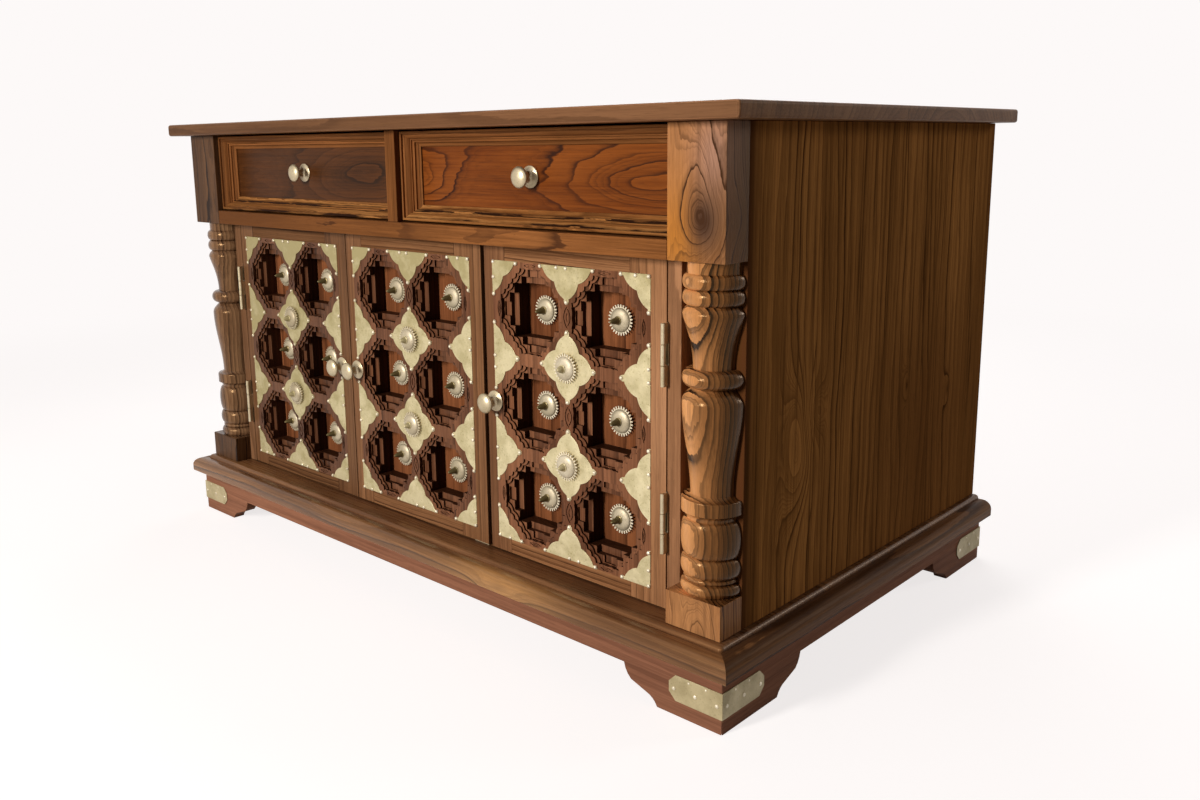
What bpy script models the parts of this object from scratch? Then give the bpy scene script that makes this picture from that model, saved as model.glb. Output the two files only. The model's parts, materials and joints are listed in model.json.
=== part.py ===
"""Carved teak sideboard: two drawers over three doors with stepped niches, brass plates and brass studs.

Metres, +Z up, front towards -Y. The origin is on the floor, under the middle of the overall box.
"""

import math

import bmesh
import bpy
from mathutils import Matrix, Vector

# Clearances
GAP = 0.0003
DRAWER_GAP = 0.0015
DOOR_GAP = 0.002
MIDDLE_DOOR_GAP = 0.0075
DOOR_STOP_GAP = 0.003

# Overall
HEIGHT = 0.710
CARCASS_WIDTH = 1.155
CARCASS_DEPTH = 0.700

# Top board
TOP_THICKNESS = 0.0195
TOP_SIDE_OVERHANG = 0.032
TOP_FRONT_OVERHANG = 0.0255
TOP_EDGE_ROUND = 0.004

# Base: shaped plinth boards, base board with a nosing, applied moulding
PLINTH_HEIGHT = 0.0725
PLINTH_THICKNESS = 0.020
PLINTH_OVERHANG = 0.0155
PLINTH_BACK_INSET = 0.005
APRON_CLEARANCE = 0.041
FRONT_FOOT_LENGTH = 0.095
SIDE_FOOT_LENGTH = 0.116
FOOT_TOE = (0.012, 0.012)
FOOT_SLOPE = (0.029, 0.010)
FOOT_TOE_BULGE = 0.0015
FOOT_SHOULDER = 0.011
FOOT_SHOULDER_BULGE = -0.002
BASE_THICKNESS = 0.0305
NOSING_OVERHANG = 0.0095
NOSING_ROUND = 0.0055
MOULDING_OVERHANG = 0.0312
MOULDING_HEIGHT = 0.0245
MOULDING_ROUND = (0.0147, 0.013)

# Brass foot straps
STRAP_FRONT_LENGTH = 0.076
STRAP_SIDE_LENGTH = 0.084
STRAP_HEIGHT = 0.033
STRAP_BOTTOM = 0.0195
STRAP_CHAMFER = 0.010
STRAP_THICKNESS = 0.0012

# Corner posts
POST_WIDTH = 0.0793
BOTTOM_BLOCK_HEIGHT = 0.043
COLUMN_RADIUS = 0.038
NECK_RADIUS = 0.0255
LOWER_NECK_RADIUS = 0.0275
GROOVE_RADIUS = 0.0315
COLLAR_RADIUS = 0.033
COLLAR_HEIGHT = 0.014
UPPER_RING_HEIGHT = 0.018
UPPER_VASE_HEIGHT = 0.073
UPPER_VASE_EASE = 0.65
LOWER_VASE_EASE = 1.0
MIDDLE_RING_HEIGHT = 0.022
BAND_HEIGHT = 0.030
BALL_HEIGHT = 0.045
LOWER_RING_HEIGHT = 0.024
COVE_HEIGHT = 0.007
FOOT_RING_HEIGHT = 0.015
TENON_LENGTH = 0.003
TURNING_SIDES = 14

# Carcass boards
SIDE_THICKNESS = 0.020
SIDE_SETBACK = 0.043
BACK_THICKNESS = 0.012
STILE_WIDTH = 0.0195
STILE_THICKNESS = 0.022
DRAWER_ZONE_HEIGHT = 0.1520
RAIL_HEIGHT = 0.023
RAIL_DEPTH = 0.079
MUNTIN_WIDTH = 0.022
MUNTIN_DEPTH = 0.025
DECK_THICKNESS = 0.018
GUIDE_WIDTH = 0.014
GUIDE_HEIGHT = 0.022
PARTITION_THICKNESS = 0.018

# Drawers
DRAWER_RIM_SETBACK = 0.008
FRAME_WIDTH = 0.021
FRAME_DEPTH = 0.024
DRAWER_FRONT_THICKNESS = 0.020
DRAWER_FRONT_LIFT = 0.0025
DRAWER_SIDE_LENGTH = 0.540
DRAWER_SIDE_HEIGHT = 0.100
DRAWER_SIDE_THICKNESS = 0.012
DRAWER_BACK_THICKNESS = 0.012
DRAWER_BOTTOM_THICKNESS = 0.008
DRAWER_BOTTOM_LIFT = 0.006
LEFT_DRAWER_KNOB_SHIFT = (-0.014, 0.002)
RIGHT_DRAWER_KNOB_SHIFT = (-0.004, 0.001)

# Doors
DOOR_SETBACK = 0.028
DOOR_THICKNESS = 0.0335
DOOR_BEVEL = 0.0035
DOOR_BACK_THICKNESS = 0.010
DOOR_BACK_INSET = 0.012
NICHE_ROWS = 3
NICHE_WEB = 0.020
NICHE_STEP = 0.0094
NICHE_ARM_WIDE = 0.0225
NICHE_ARM_NARROW = 0.0095
NICHE_DEPTH_WIDE = 0.0135
NICHE_DEPTH_NARROW = 0.0045
PATTERN_SHIFT = -0.0035

# Brass plates on the doors
PLATE_MARGIN = 0.020
PLATE_THICKNESS = 0.0011
PLATE_TIP_GAP = 0.0165
PLATE_TIP_LENGTH = 0.007
PLATE_TIP_WIDTH = 0.005
PLATE_NECK_WIDTH = 0.008
PLATE_CUSP_DEPTH = 0.0035
PLATE_LOBE_RISE = 0.0032
PLATE_LOBE_STEPS = 3

# Brass studs and knobs
STUD_RADIUS = 0.0198
STUD_RIM = 0.002
STUD_PEDESTAL_RADIUS = 0.015
STUD_DOME_RADIUS = 0.016
STUD_DOME_HEIGHT = 0.0045
STUD_SPIKE_RADIUS = 0.0048
NICHE_STUD_LIFT = 0.004
NICHE_SPIKE_LENGTH = 0.0165
PLATE_STUD_LIFT = 0.003
PLATE_SPIKE_LENGTH = 0.0105
STUD_SIDES = 8
KNOB_RADIUS = 0.014
KNOB_PLATE_RADIUS = 0.0145
KNOB_PLATE_THICKNESS = 0.002
KNOB_STEM_RADIUS = 0.0055
KNOB_LENGTH = 0.026
KNOB_HEAD = 0.009
KNOB_SIDES = 10
KNOB_INSET = 0.0155
LEFT_KNOB_INSET = 0.024

# Butt hinges of the outer doors, pin pivots of the middle door
HINGE_LENGTH = 0.076
HINGE_SPACING = 0.207
HINGE_RADIUS = 0.003
HINGE_PROUD = 0.008
HINGE_PIN_RADIUS = 0.0015
HINGE_PIN_CLEARANCE = 0.0004
HINGE_LEAF_WIDTH = 0.026
HINGE_LEAF_THICKNESS = 0.0015
HINGE_LEAF_APART = 0.001
HINGE_SIDES = 12
PIVOT_RADIUS = 0.003
PIVOT_DEPTH = 0.012
PIVOT_CLEARANCE = 0.0004
PIVOT_INSET = 0.0075
PIVOT_PLATE_LENGTH = 0.030
PIVOT_PLATE_WIDTH = 0.013
PIVOT_PLATE_THICKNESS = 0.0012

# Levels and planes worked out from the sizes above
HALF = CARCASS_WIDTH / 2
FACE_Y = -(CARCASS_DEPTH - MOULDING_OVERHANG) / 2
BACK_Y = FACE_Y + CARCASS_DEPTH
BASE_TOP = PLINTH_HEIGHT + GAP + BASE_THICKNESS
TOP_UNDERSIDE = HEIGHT - TOP_THICKNESS
RAIL_BOTTOM = TOP_UNDERSIDE - DRAWER_ZONE_HEIGHT
RAIL_TOP = RAIL_BOTTOM + RAIL_HEIGHT
STAND = BASE_TOP + GAP
UNDER_TOP = TOP_UNDERSIDE - GAP
SIDE_INNER = HALF - SIDE_THICKNESS
BACK_FRONT = BACK_Y - BACK_THICKNESS
POST_INNER = HALF - POST_WIDTH
BEHIND_RAIL = FACE_Y + max(RAIL_DEPTH, POST_WIDTH) + GAP
DOOR_Y = FACE_Y + DOOR_SETBACK
DOOR_BACK_Y = DOOR_Y + DOOR_THICKNESS + GAP
STILE_INNER = POST_INNER - GAP - STILE_WIDTH
DOOR_BOTTOM = BASE_TOP + DOOR_GAP
DOOR_TOP = RAIL_BOTTOM - DOOR_GAP
DOOR_HEIGHT = DOOR_TOP - DOOR_BOTTOM
DOOR_MIDDLE_Z = (DOOR_TOP + DOOR_BOTTOM) / 2
DOOR_WIDTH = (2 * STILE_INNER - 3 * DOOR_GAP - MIDDLE_DOOR_GAP) / 3
NICHE_PITCH = (DOOR_HEIGHT - 2 * PLATE_MARGIN) / NICHE_ROWS
NICHE_OUTER = (NICHE_PITCH - NICHE_WEB) / 2
NICHE_MIDDLE = NICHE_OUTER - NICHE_STEP
NICHE_INNER = NICHE_MIDDLE - NICHE_STEP
PLATE_HALF = NICHE_PITCH / 2 - PLATE_TIP_GAP
PATTERN_HALF_WIDTH = DOOR_WIDTH / 2 - PLATE_MARGIN
PATTERN_HALF_HEIGHT = DOOR_HEIGHT / 2 - PLATE_MARGIN
HINGE_Y = DOOR_Y - HINGE_PROUD
DRAWER_FRONT_Y = FACE_Y + DRAWER_RIM_SETBACK + FRAME_DEPTH + GAP


def clear_scene():
    for thing in list(bpy.data.objects):
        bpy.data.objects.remove(thing)


def make_material(name, colour, roughness, metallic):
    material = bpy.data.materials.new(name)
    material.use_nodes = True
    shader = material.node_tree.nodes["Principled BSDF"]
    shader.inputs["Base Color"].default_value = (*colour, 1.0)
    shader.inputs["Roughness"].default_value = roughness
    shader.inputs["Metallic"].default_value = metallic
    return material


def link(name, mesh):
    thing = bpy.data.objects.new(name, mesh)
    bpy.context.scene.collection.objects.link(thing)
    return thing


def mesh_from(bm, name):
    bmesh.ops.recalc_face_normals(bm, faces=bm.faces[:])
    mesh = bpy.data.meshes.new(name)
    bm.to_mesh(mesh)
    bm.free()
    return mesh


def joint_empty(name, place):
    """The parent of a moving body, on its joint's axis."""
    empty = bpy.data.objects.new(name, None)
    empty.location = place
    bpy.context.scene.collection.objects.link(empty)
    return empty


def place_piece(name, mesh, material, parent=None, smooth=False):
    """A named object of a mesh in world coordinates, with its origin on its parent or its own middle."""
    corners = [vertex.co for vertex in mesh.vertices]
    low = Vector(min(corner[i] for corner in corners) for i in range(3))
    high = Vector(max(corner[i] for corner in corners) for i in range(3))
    origin = Vector(parent.location) if parent else (low + high) / 2
    mesh.transform(Matrix.Translation(-origin))
    thing = link(name, mesh)
    thing.data.materials.append(material)
    if parent:
        thing.parent = parent
    else:
        thing.location = origin
    if smooth:
        mesh.shade_smooth()
        mesh.set_sharp_from_angle(angle=math.radians(35))
    return thing


def add_box(bm, low, high):
    made = bmesh.ops.create_cube(bm, size=1.0)
    size = Vector(high) - Vector(low)
    middle = (Vector(high) + Vector(low)) / 2
    bmesh.ops.scale(bm, vec=size, verts=made["verts"])
    bmesh.ops.translate(bm, vec=middle, verts=made["verts"])
    return made["verts"]


def box_mesh(low, high):
    bm = bmesh.new()
    add_box(bm, low, high)
    return mesh_from(bm, "box")


def box(name, x, y, z, material, parent=None):
    """A plain board between the given limits along each axis."""
    mesh = box_mesh((x[0], y[0], z[0]), (x[1], y[1], z[1]))
    return place_piece(name, mesh, material, parent)


def add_prism(bm, outline, low, high, to_world):
    """A flat outline of (a, b) points, swept from low to high, each point placed by to_world(a, b, c)."""
    first = [bm.verts.new(to_world(a, b, low)) for a, b in outline]
    second = [bm.verts.new(to_world(a, b, high)) for a, b in outline]
    bm.faces.new(first)
    bm.faces.new(list(reversed(second)))
    count = len(outline)
    for i in range(count):
        j = (i + 1) % count
        bm.faces.new((first[j], first[i], second[i], second[j]))


def add_turning(bm, profile, sides, to_world):
    """A turned solid from (height, radius) points, each point of it placed by to_world(u, v, height)."""
    rings = []
    for height, radius in profile:
        ring = []
        for k in range(sides):
            angle = 2 * math.pi * (k + 0.5) / sides
            ring.append(bm.verts.new(to_world(radius * math.cos(angle), radius * math.sin(angle), height)))
        rings.append(ring)
    bm.faces.new(rings[0])
    bm.faces.new(list(reversed(rings[-1])))
    for lower, upper in zip(rings, rings[1:]):
        for k in range(sides):
            j = (k + 1) % sides
            bm.faces.new((lower[j], lower[k], upper[k], upper[j]))


def on_front(x, y, z):
    """Puts a turning's height towards -Y, with its base on the plane y."""
    return lambda u, v, height: (x + u, y - height, z + v)


def combined(mesh, tool, operation):
    """The mesh joined with, or cut by, a tool mesh."""
    target = link("target", mesh)
    other = link("tool", tool)
    modifier = target.modifiers.new("combine", "BOOLEAN")
    modifier.operation = operation
    modifier.solver = "EXACT"
    modifier.object = other
    graph = bpy.context.evaluated_depsgraph_get()
    result = bpy.data.meshes.new_from_object(target.evaluated_get(graph))
    bpy.data.objects.remove(target)
    bpy.data.objects.remove(other)
    return result


def arc(start, end, rise, steps):
    """Points after start up to end on a shallow arc that bulges to the left of the way by rise."""
    chord = Vector((end[0] - start[0], end[1] - start[1]))
    left = Vector((-chord.y, chord.x)).normalized()
    points = []
    for k in range(1, steps + 1):
        t = k / steps
        lift = rise * 4 * t * (1 - t)
        points.append((start[0] + chord.x * t + left.x * lift, start[1] + chord.y * t + left.y * lift))
    return points


def quarter_round(start, end, steps):
    """Points from start to end on a quarter ellipse that leaves start upright and meets end level."""
    width = end[0] - start[0]
    height = end[1] - start[1]
    points = []
    for k in range(steps + 1):
        angle = math.pi / 2 * k / steps
        points.append((start[0] + width * (1 - math.cos(angle)), start[1] + height * math.sin(angle)))
    return points


# Top and base


def rounded_board(name, low, high, edge, edges_wanted, material):
    """A board with some of its edges rounded, chosen by a test on the middle of each edge."""
    bm = bmesh.new()
    add_box(bm, low, high)
    chosen = [e for e in bm.edges if edges_wanted((e.verts[0].co + e.verts[1].co) / 2)]
    bmesh.ops.bevel(bm, geom=chosen, offset=edge, segments=3, profile=0.5, affect="EDGES")
    return place_piece(name, mesh_from(bm, name), material)


def top_board(material):
    low = Vector((-HALF - TOP_SIDE_OVERHANG, FACE_Y - TOP_FRONT_OVERHANG, TOP_UNDERSIDE))
    high = Vector((HALF + TOP_SIDE_OVERHANG, BACK_Y, HEIGHT))

    def at_front_or_end(middle):
        on_rim = abs(middle.z - low.z) < GAP or abs(middle.z - high.z) < GAP
        return on_rim and middle.y < high.y - GAP

    rounded_board("top_board", low, high, TOP_EDGE_ROUND, at_front_or_end, material)


def base_board(material):
    low = Vector((-HALF - NOSING_OVERHANG, FACE_Y - NOSING_OVERHANG, PLINTH_HEIGHT + GAP))
    high = Vector((HALF + NOSING_OVERHANG, BACK_Y, BASE_TOP))

    def on_nosing(middle):
        return abs(middle.z - high.z) < GAP and middle.y < high.y - GAP

    rounded_board("base_board", low, high, NOSING_ROUND, on_nosing, material)


def moulding_profile():
    """(overhang, z) points round the applied moulding: flat back, upright lip, quarter round, flat top."""
    bottom = PLINTH_HEIGHT + GAP
    top = bottom + MOULDING_HEIGHT
    back = NOSING_OVERHANG + GAP
    lip = (MOULDING_OVERHANG, top - MOULDING_ROUND[1])
    shoulder = (MOULDING_OVERHANG - MOULDING_ROUND[0], top)
    return [(back, bottom), (MOULDING_OVERHANG, bottom), *quarter_round(lip, shoulder, 4), (back, top)]


def base_mouldings(material):
    profile = moulding_profile()
    mitre = HALF - GAP
    runs = {
        "front_base_moulding": (lambda o: (-mitre - o, FACE_Y - o), lambda o: (mitre + o, FACE_Y - o)),
        "left_base_moulding": (lambda o: (-HALF - o, FACE_Y - o + GAP), lambda o: (-HALF - o, BACK_Y)),
        "right_base_moulding": (lambda o: (HALF + o, FACE_Y - o + GAP), lambda o: (HALF + o, BACK_Y)),
    }
    for name, (near_end, far_end) in runs.items():
        bm = bmesh.new()
        first = [bm.verts.new((*near_end(o), z)) for o, z in profile]
        second = [bm.verts.new((*far_end(o), z)) for o, z in profile]
        bm.faces.new(first)
        bm.faces.new(list(reversed(second)))
        for i in range(len(profile)):
            j = (i + 1) % len(profile)
            bm.faces.new((first[j], first[i], second[i], second[j]))
        place_piece(name, mesh_from(bm, name), material)


def foot_points(foot_length):
    """(distance from the corner, z) up the inner edge of a bracket foot: toe, slope, shoulder, apron."""
    toe_end = (foot_length + FOOT_TOE[0], FOOT_TOE[1])
    slope_end = (toe_end[0] + FOOT_SLOPE[0], toe_end[1] + FOOT_SLOPE[1])
    shoulder_end = (slope_end[0] + FOOT_SHOULDER, APRON_CLEARANCE)
    points = [(foot_length, 0.0)]
    points += arc(points[-1], toe_end, FOOT_TOE_BULGE, 3)
    points += [slope_end]
    points += arc(points[-1], shoulder_end, FOOT_SHOULDER_BULGE, 3)
    return points


def plinth_outline(half_length, foot_length):
    """(s, z) points round a plinth board that ends in two bracket feet."""
    inner = foot_points(foot_length)
    left = [(-half_length + d, z) for d, z in inner]
    right = [(half_length - d, z) for d, z in reversed(inner)]
    return [
        (-half_length, PLINTH_HEIGHT),
        (-half_length, 0.0),
        *left,
        *right,
        (half_length, 0.0),
        (half_length, PLINTH_HEIGHT),
    ]


def plinth_limits():
    low = Vector((-HALF - PLINTH_OVERHANG, FACE_Y - PLINTH_OVERHANG))
    high = Vector((HALF + PLINTH_OVERHANG, BACK_Y - PLINTH_BACK_INSET))
    return low, high


def plinth_boards(material):
    """Four shaped boards, mitred at the corners."""
    low, high = plinth_limits()
    middle = (low + high) / 2
    half_x = (high.x - low.x) / 2
    half_y = (high.y - low.y) / 2
    boards = {
        "front_plinth": (half_x, FRONT_FOOT_LENGTH, lambda s, t: (middle.x + s, low.y + t)),
        "back_plinth": (half_x, FRONT_FOOT_LENGTH, lambda s, t: (middle.x + s, high.y - t)),
        "left_plinth": (half_y, SIDE_FOOT_LENGTH, lambda s, t: (low.x + t, middle.y + s)),
        "right_plinth": (half_y, SIDE_FOOT_LENGTH, lambda s, t: (high.x - t, middle.y + s)),
    }
    for name, (half_length, foot_length, at) in boards.items():
        outline = plinth_outline(half_length - GAP, foot_length)
        bm = bmesh.new()
        loops = []
        for depth in (0.0, PLINTH_THICKNESS):
            limit = half_length - GAP - depth
            points = [(max(-limit, min(limit, s)), z) for s, z in outline]
            loops.append([bm.verts.new((*at(s, depth), z)) for s, z in points])
        outer, inner = loops
        bm.faces.new(outer)
        bm.faces.new(list(reversed(inner)))
        for i in range(len(outline)):
            j = (i + 1) % len(outline)
            bm.faces.new((outer[j], outer[i], inner[i], inner[j]))
        place_piece(name, mesh_from(bm, name), material)


def strap_wing(length):
    """(distance from the corner, z) points up the clipped end of a strap's wing."""
    top = STRAP_BOTTOM + STRAP_HEIGHT
    return [
        (length - STRAP_CHAMFER, STRAP_BOTTOM),
        (length, STRAP_BOTTOM + STRAP_CHAMFER),
        (length, top - STRAP_CHAMFER),
        (length - STRAP_CHAMFER, top),
    ]


def foot_straps(material):
    """An angled brass strap with clipped ends round each corner of the plinth."""
    low, high = plinth_limits()
    front_wing = strap_wing(STRAP_FRONT_LENGTH)
    side_wing = strap_wing(STRAP_SIDE_LENGTH)
    for front_or_back, y, into_y in (("front", low.y, 1), ("back", high.y, -1)):
        for side, x, into_x in (("left", low.x, 1), ("right", high.x, -1)):
            bm = bmesh.new()
            layers = []
            for off in (GAP + STRAP_THICKNESS, GAP):
                corner = Vector((x - into_x * off, y - into_y * off))
                fold = [bm.verts.new((*corner, STRAP_BOTTOM + rise)) for rise in (0.0, STRAP_HEIGHT)]
                along_x = [bm.verts.new((x + into_x * s, corner.y, z)) for s, z in front_wing]
                along_y = [bm.verts.new((corner.x, y + into_y * s, z)) for s, z in side_wing]
                layers.append((fold, along_x, along_y))
            rims = []
            for fold, along_x, along_y in layers:
                bm.faces.new([fold[0], *along_x, fold[1]])
                bm.faces.new([fold[1], *reversed(along_y), fold[0]])
                rims.append([fold[0], *along_x, fold[1], *reversed(along_y)])
            outer, inner = rims
            for i in range(len(outer)):
                j = (i + 1) % len(outer)
                bm.faces.new((outer[i], outer[j], inner[j], inner[i]))
            name = f"{front_or_back}_{side}_foot_strap"
            place_piece(name, mesh_from(bm, name), material)


# Corner posts


def ring_points(top, height, groove):
    """(z, radius) points down a half-round ring between two grooves."""
    points = []
    for k in range(5):
        angle = math.pi * k / 4
        swell = (COLUMN_RADIUS - groove) * math.sin(angle)
        points.append((top - height * (1 - math.cos(angle)) / 2, groove + swell))
    return points


def vase_points(top, height, groove, neck, ease):
    """(z, radius) points down a vase: quick shoulder, long taper, neck, sooner with a lower ease."""
    shoulder = 0.14
    points = [(top, groove)]
    for t in (0.05, 0.14, 0.26, 0.40, 0.55, 0.72, 0.88, 1.0):
        if t <= shoulder:
            swell = groove + (COLUMN_RADIUS - groove) * math.sin(math.pi / 2 * t / shoulder)
        else:
            fall = ((t - shoulder) / (1 - shoulder)) ** ease
            swell = neck + (COLUMN_RADIUS - neck) * (1 + math.cos(math.pi * fall)) / 2
        points.append((top - height * t, swell))
    return points


def column_profile(top, bottom):
    """(z, radius) points down the turned shaft. The lower vase takes the height that the others leave."""
    fixed = (
        COLLAR_HEIGHT
        + 2 * UPPER_RING_HEIGHT
        + UPPER_VASE_HEIGHT
        + MIDDLE_RING_HEIGHT
        + BAND_HEIGHT
        + BALL_HEIGHT
        + LOWER_RING_HEIGHT
        + COVE_HEIGHT
        + FOOT_RING_HEIGHT
    )
    lower_vase = top - bottom - fixed
    z = top
    points = [(z, COLLAR_RADIUS), (z - COLLAR_HEIGHT, COLLAR_RADIUS)]
    z -= COLLAR_HEIGHT
    for _ in range(2):
        points += ring_points(z, UPPER_RING_HEIGHT, GROOVE_RADIUS)
        z -= UPPER_RING_HEIGHT
    points += vase_points(z, UPPER_VASE_HEIGHT, GROOVE_RADIUS, NECK_RADIUS, UPPER_VASE_EASE)
    z -= UPPER_VASE_HEIGHT
    points += ring_points(z, MIDDLE_RING_HEIGHT, NECK_RADIUS)
    z -= MIDDLE_RING_HEIGHT
    points += vase_points(z, lower_vase, NECK_RADIUS, LOWER_NECK_RADIUS, LOWER_VASE_EASE)
    z -= lower_vase
    flare = BAND_HEIGHT / 6
    points += [(z - flare, COLUMN_RADIUS), (z - BAND_HEIGHT + 1.5 * flare, COLUMN_RADIUS)]
    z -= BAND_HEIGHT
    points += ring_points(z, BALL_HEIGHT, GROOVE_RADIUS)
    z -= BALL_HEIGHT
    points += ring_points(z, LOWER_RING_HEIGHT, GROOVE_RADIUS)
    z -= LOWER_RING_HEIGHT
    points += [(z - COVE_HEIGHT / 2, NECK_RADIUS + (GROOVE_RADIUS - NECK_RADIUS) / 2)]
    z -= COVE_HEIGHT
    points += ring_points(z, FOOT_RING_HEIGHT, GROOVE_RADIUS)
    return [point for i, point in enumerate(points) if i == 0 or points[i - 1][0] - point[0] > GAP]


def corner_post(side, sign, material):
    """One solid post: square block, turned shaft, square block, rebated behind for the side panel."""
    shaft_top = RAIL_BOTTOM
    shaft_bottom = STAND + BOTTOM_BLOCK_HEIGHT
    axis_x = sign * (HALF - POST_WIDTH / 2)
    axis_y = FACE_Y + POST_WIDTH / 2
    inner, outer = sorted((sign * POST_INNER, sign * HALF))
    back = FACE_Y + POST_WIDTH
    mesh = box_mesh((inner, FACE_Y, shaft_top), (outer, back, UNDER_TOP))
    mesh = combined(mesh, box_mesh((inner, FACE_Y, STAND), (outer, back, shaft_bottom)), "UNION")
    profile = column_profile(shaft_top, shaft_bottom)
    root = (shaft_top + TENON_LENGTH, profile[0][1])
    tail = (shaft_bottom - TENON_LENGTH, profile[-1][1])
    profile = [root, *profile, tail]
    bm = bmesh.new()
    add_turning(bm, profile, TURNING_SIDES, lambda u, v, z: (axis_x + u, axis_y + v, z))
    mesh = combined(mesh, mesh_from(bm, "shaft"), "UNION")
    rebate_low, rebate_high = sorted((sign * (SIDE_INNER - GAP), sign * (HALF + GAP)))
    rebate = box_mesh(
        (rebate_low, FACE_Y + SIDE_SETBACK - GAP, STAND - GAP),
        (rebate_high, back + GAP, UNDER_TOP + GAP),
    )
    mesh = combined(mesh, rebate, "DIFFERENCE")
    place_piece(f"{side}_corner_post", mesh, material, smooth=True)


# Carcass boards


def hinge_heights():
    return {"upper": DOOR_MIDDLE_Z + HINGE_SPACING / 2, "lower": DOOR_MIDDLE_Z - HINGE_SPACING / 2}


def mortise(edge_x, into, z):
    """The shallow pocket for a hinge leaf in an edge at edge_x, cut in the direction into."""
    depth = HINGE_LEAF_THICKNESS - (DOOR_GAP - HINGE_LEAF_APART) / 2 + GAP
    x_low, x_high = sorted((edge_x - into * DOOR_GAP / 4, edge_x + into * depth))
    half = HINGE_LENGTH / 2 + GAP
    return box_mesh((x_low, DOOR_Y - GAP, z - half), (x_high, HINGE_Y + HINGE_LEAF_WIDTH + GAP, z + half))


def stile(side, sign, material):
    inner, outer = sorted((sign * STILE_INNER, sign * (POST_INNER - GAP)))
    mesh = box_mesh((inner, DOOR_Y, STAND), (outer, DOOR_Y + STILE_THICKNESS, RAIL_BOTTOM - GAP))
    for z in hinge_heights().values():
        mesh = combined(mesh, mortise(sign * STILE_INNER, sign, z), "DIFFERENCE")
    place_piece(f"{side}_stile", mesh, material)


def carcass_boards(wood, inner_wood):
    back_limit = BACK_FRONT - GAP
    panel_y = (FACE_Y + SIDE_SETBACK, BACK_Y)
    box("left_side_panel", (-HALF, -SIDE_INNER), panel_y, (STAND, UNDER_TOP), wood)
    box("right_side_panel", (SIDE_INNER, HALF), panel_y, (STAND, UNDER_TOP), wood)
    inside = (-SIDE_INNER + GAP, SIDE_INNER - GAP)
    box("back_panel", inside, (BACK_FRONT, BACK_Y), (STAND, UNDER_TOP), inner_wood)
    rail_x = (-POST_INNER + GAP, POST_INNER - GAP)
    box("drawer_rail", rail_x, (FACE_Y, FACE_Y + RAIL_DEPTH), (RAIL_BOTTOM, RAIL_TOP), wood)
    above_rail = (RAIL_TOP + GAP, UNDER_TOP)
    half_muntin = MUNTIN_WIDTH / 2
    muntin_back = FACE_Y + MUNTIN_DEPTH
    box("drawer_muntin", (-half_muntin, half_muntin), (FACE_Y, muntin_back), above_rail, wood)
    divider_y = (muntin_back + GAP, back_limit)
    box("drawer_divider", (-half_muntin, half_muntin), divider_y, above_rail, inner_wood)
    deck_z = (RAIL_TOP - DECK_THICKNESS, RAIL_TOP)
    box("drawer_deck", inside, (BEHIND_RAIL, back_limit), deck_z, inner_wood)
    guide_z = (RAIL_TOP + GAP, RAIL_TOP + GAP + GUIDE_HEIGHT)
    for side, sign in (("left", -1), ("right", 1)):
        guide_x = sorted((sign * POST_INNER, sign * (POST_INNER + GUIDE_WIDTH)))
        box(f"{side}_drawer_guide", guide_x, (BEHIND_RAIL, back_limit), guide_z, inner_wood)
    gap_middle = door_spans()["right"][0] - MIDDLE_DOOR_GAP / 2
    partition_x = (gap_middle - PARTITION_THICKNESS / 2, gap_middle + PARTITION_THICKNESS / 2)
    doors_end = DOOR_BACK_Y + DOOR_BACK_THICKNESS
    partition_y = (max(BEHIND_RAIL, doors_end + DOOR_STOP_GAP), back_limit)
    box("inner_partition", partition_x, partition_y, (STAND, deck_z[0] - GAP), inner_wood)


# Knobs and studs


def knob_mesh(x, y, z):
    """A turned knob on a round plate, standing out of the plane y towards -Y."""
    head = KNOB_LENGTH - KNOB_HEAD
    profile = [
        (0.0, KNOB_PLATE_RADIUS),
        (KNOB_PLATE_THICKNESS, KNOB_PLATE_RADIUS),
        (KNOB_PLATE_THICKNESS * 2, KNOB_STEM_RADIUS * 1.5),
        (KNOB_PLATE_THICKNESS * 3.5, KNOB_STEM_RADIUS),
        (head - KNOB_HEAD * 0.2, KNOB_STEM_RADIUS),
        (head + KNOB_HEAD * 0.35, KNOB_RADIUS * 0.9),
        (head + KNOB_HEAD * 0.6, KNOB_RADIUS),
        (head + KNOB_HEAD * 0.85, KNOB_RADIUS * 0.8),
        (KNOB_LENGTH, KNOB_RADIUS * 0.3),
    ]
    bm = bmesh.new()
    add_turning(bm, profile, KNOB_SIDES, on_front(x, y, z))
    return mesh_from(bm, "knob")


def stud_profile(sunk, lift, spike_length):
    """(height, radius) points up a stud, from a root sunk into its carrier: pedestal, rim, dome, spike."""
    rim_top = lift + STUD_RIM
    dome_top = rim_top + STUD_DOME_HEIGHT
    return [
        (-sunk, STUD_PEDESTAL_RADIUS),
        (lift, STUD_PEDESTAL_RADIUS),
        (lift, STUD_RADIUS),
        (rim_top, STUD_RADIUS),
        (rim_top + STUD_DOME_HEIGHT * 0.45, STUD_DOME_RADIUS),
        (dome_top, STUD_SPIKE_RADIUS),
        (dome_top + spike_length * 0.6, STUD_SPIKE_RADIUS * 0.75),
        (dome_top + spike_length, STUD_SPIKE_RADIUS * 0.25),
    ]


def studs_mesh(places, y, sunk, lift, spike_length):
    """Studs at (x, z) places, standing out of the plane y towards -Y."""
    bm = bmesh.new()
    for x, z in places:
        add_turning(bm, stud_profile(sunk, lift, spike_length), STUD_SIDES, on_front(x, y, z))
    return mesh_from(bm, "studs")


# Drawers


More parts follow.
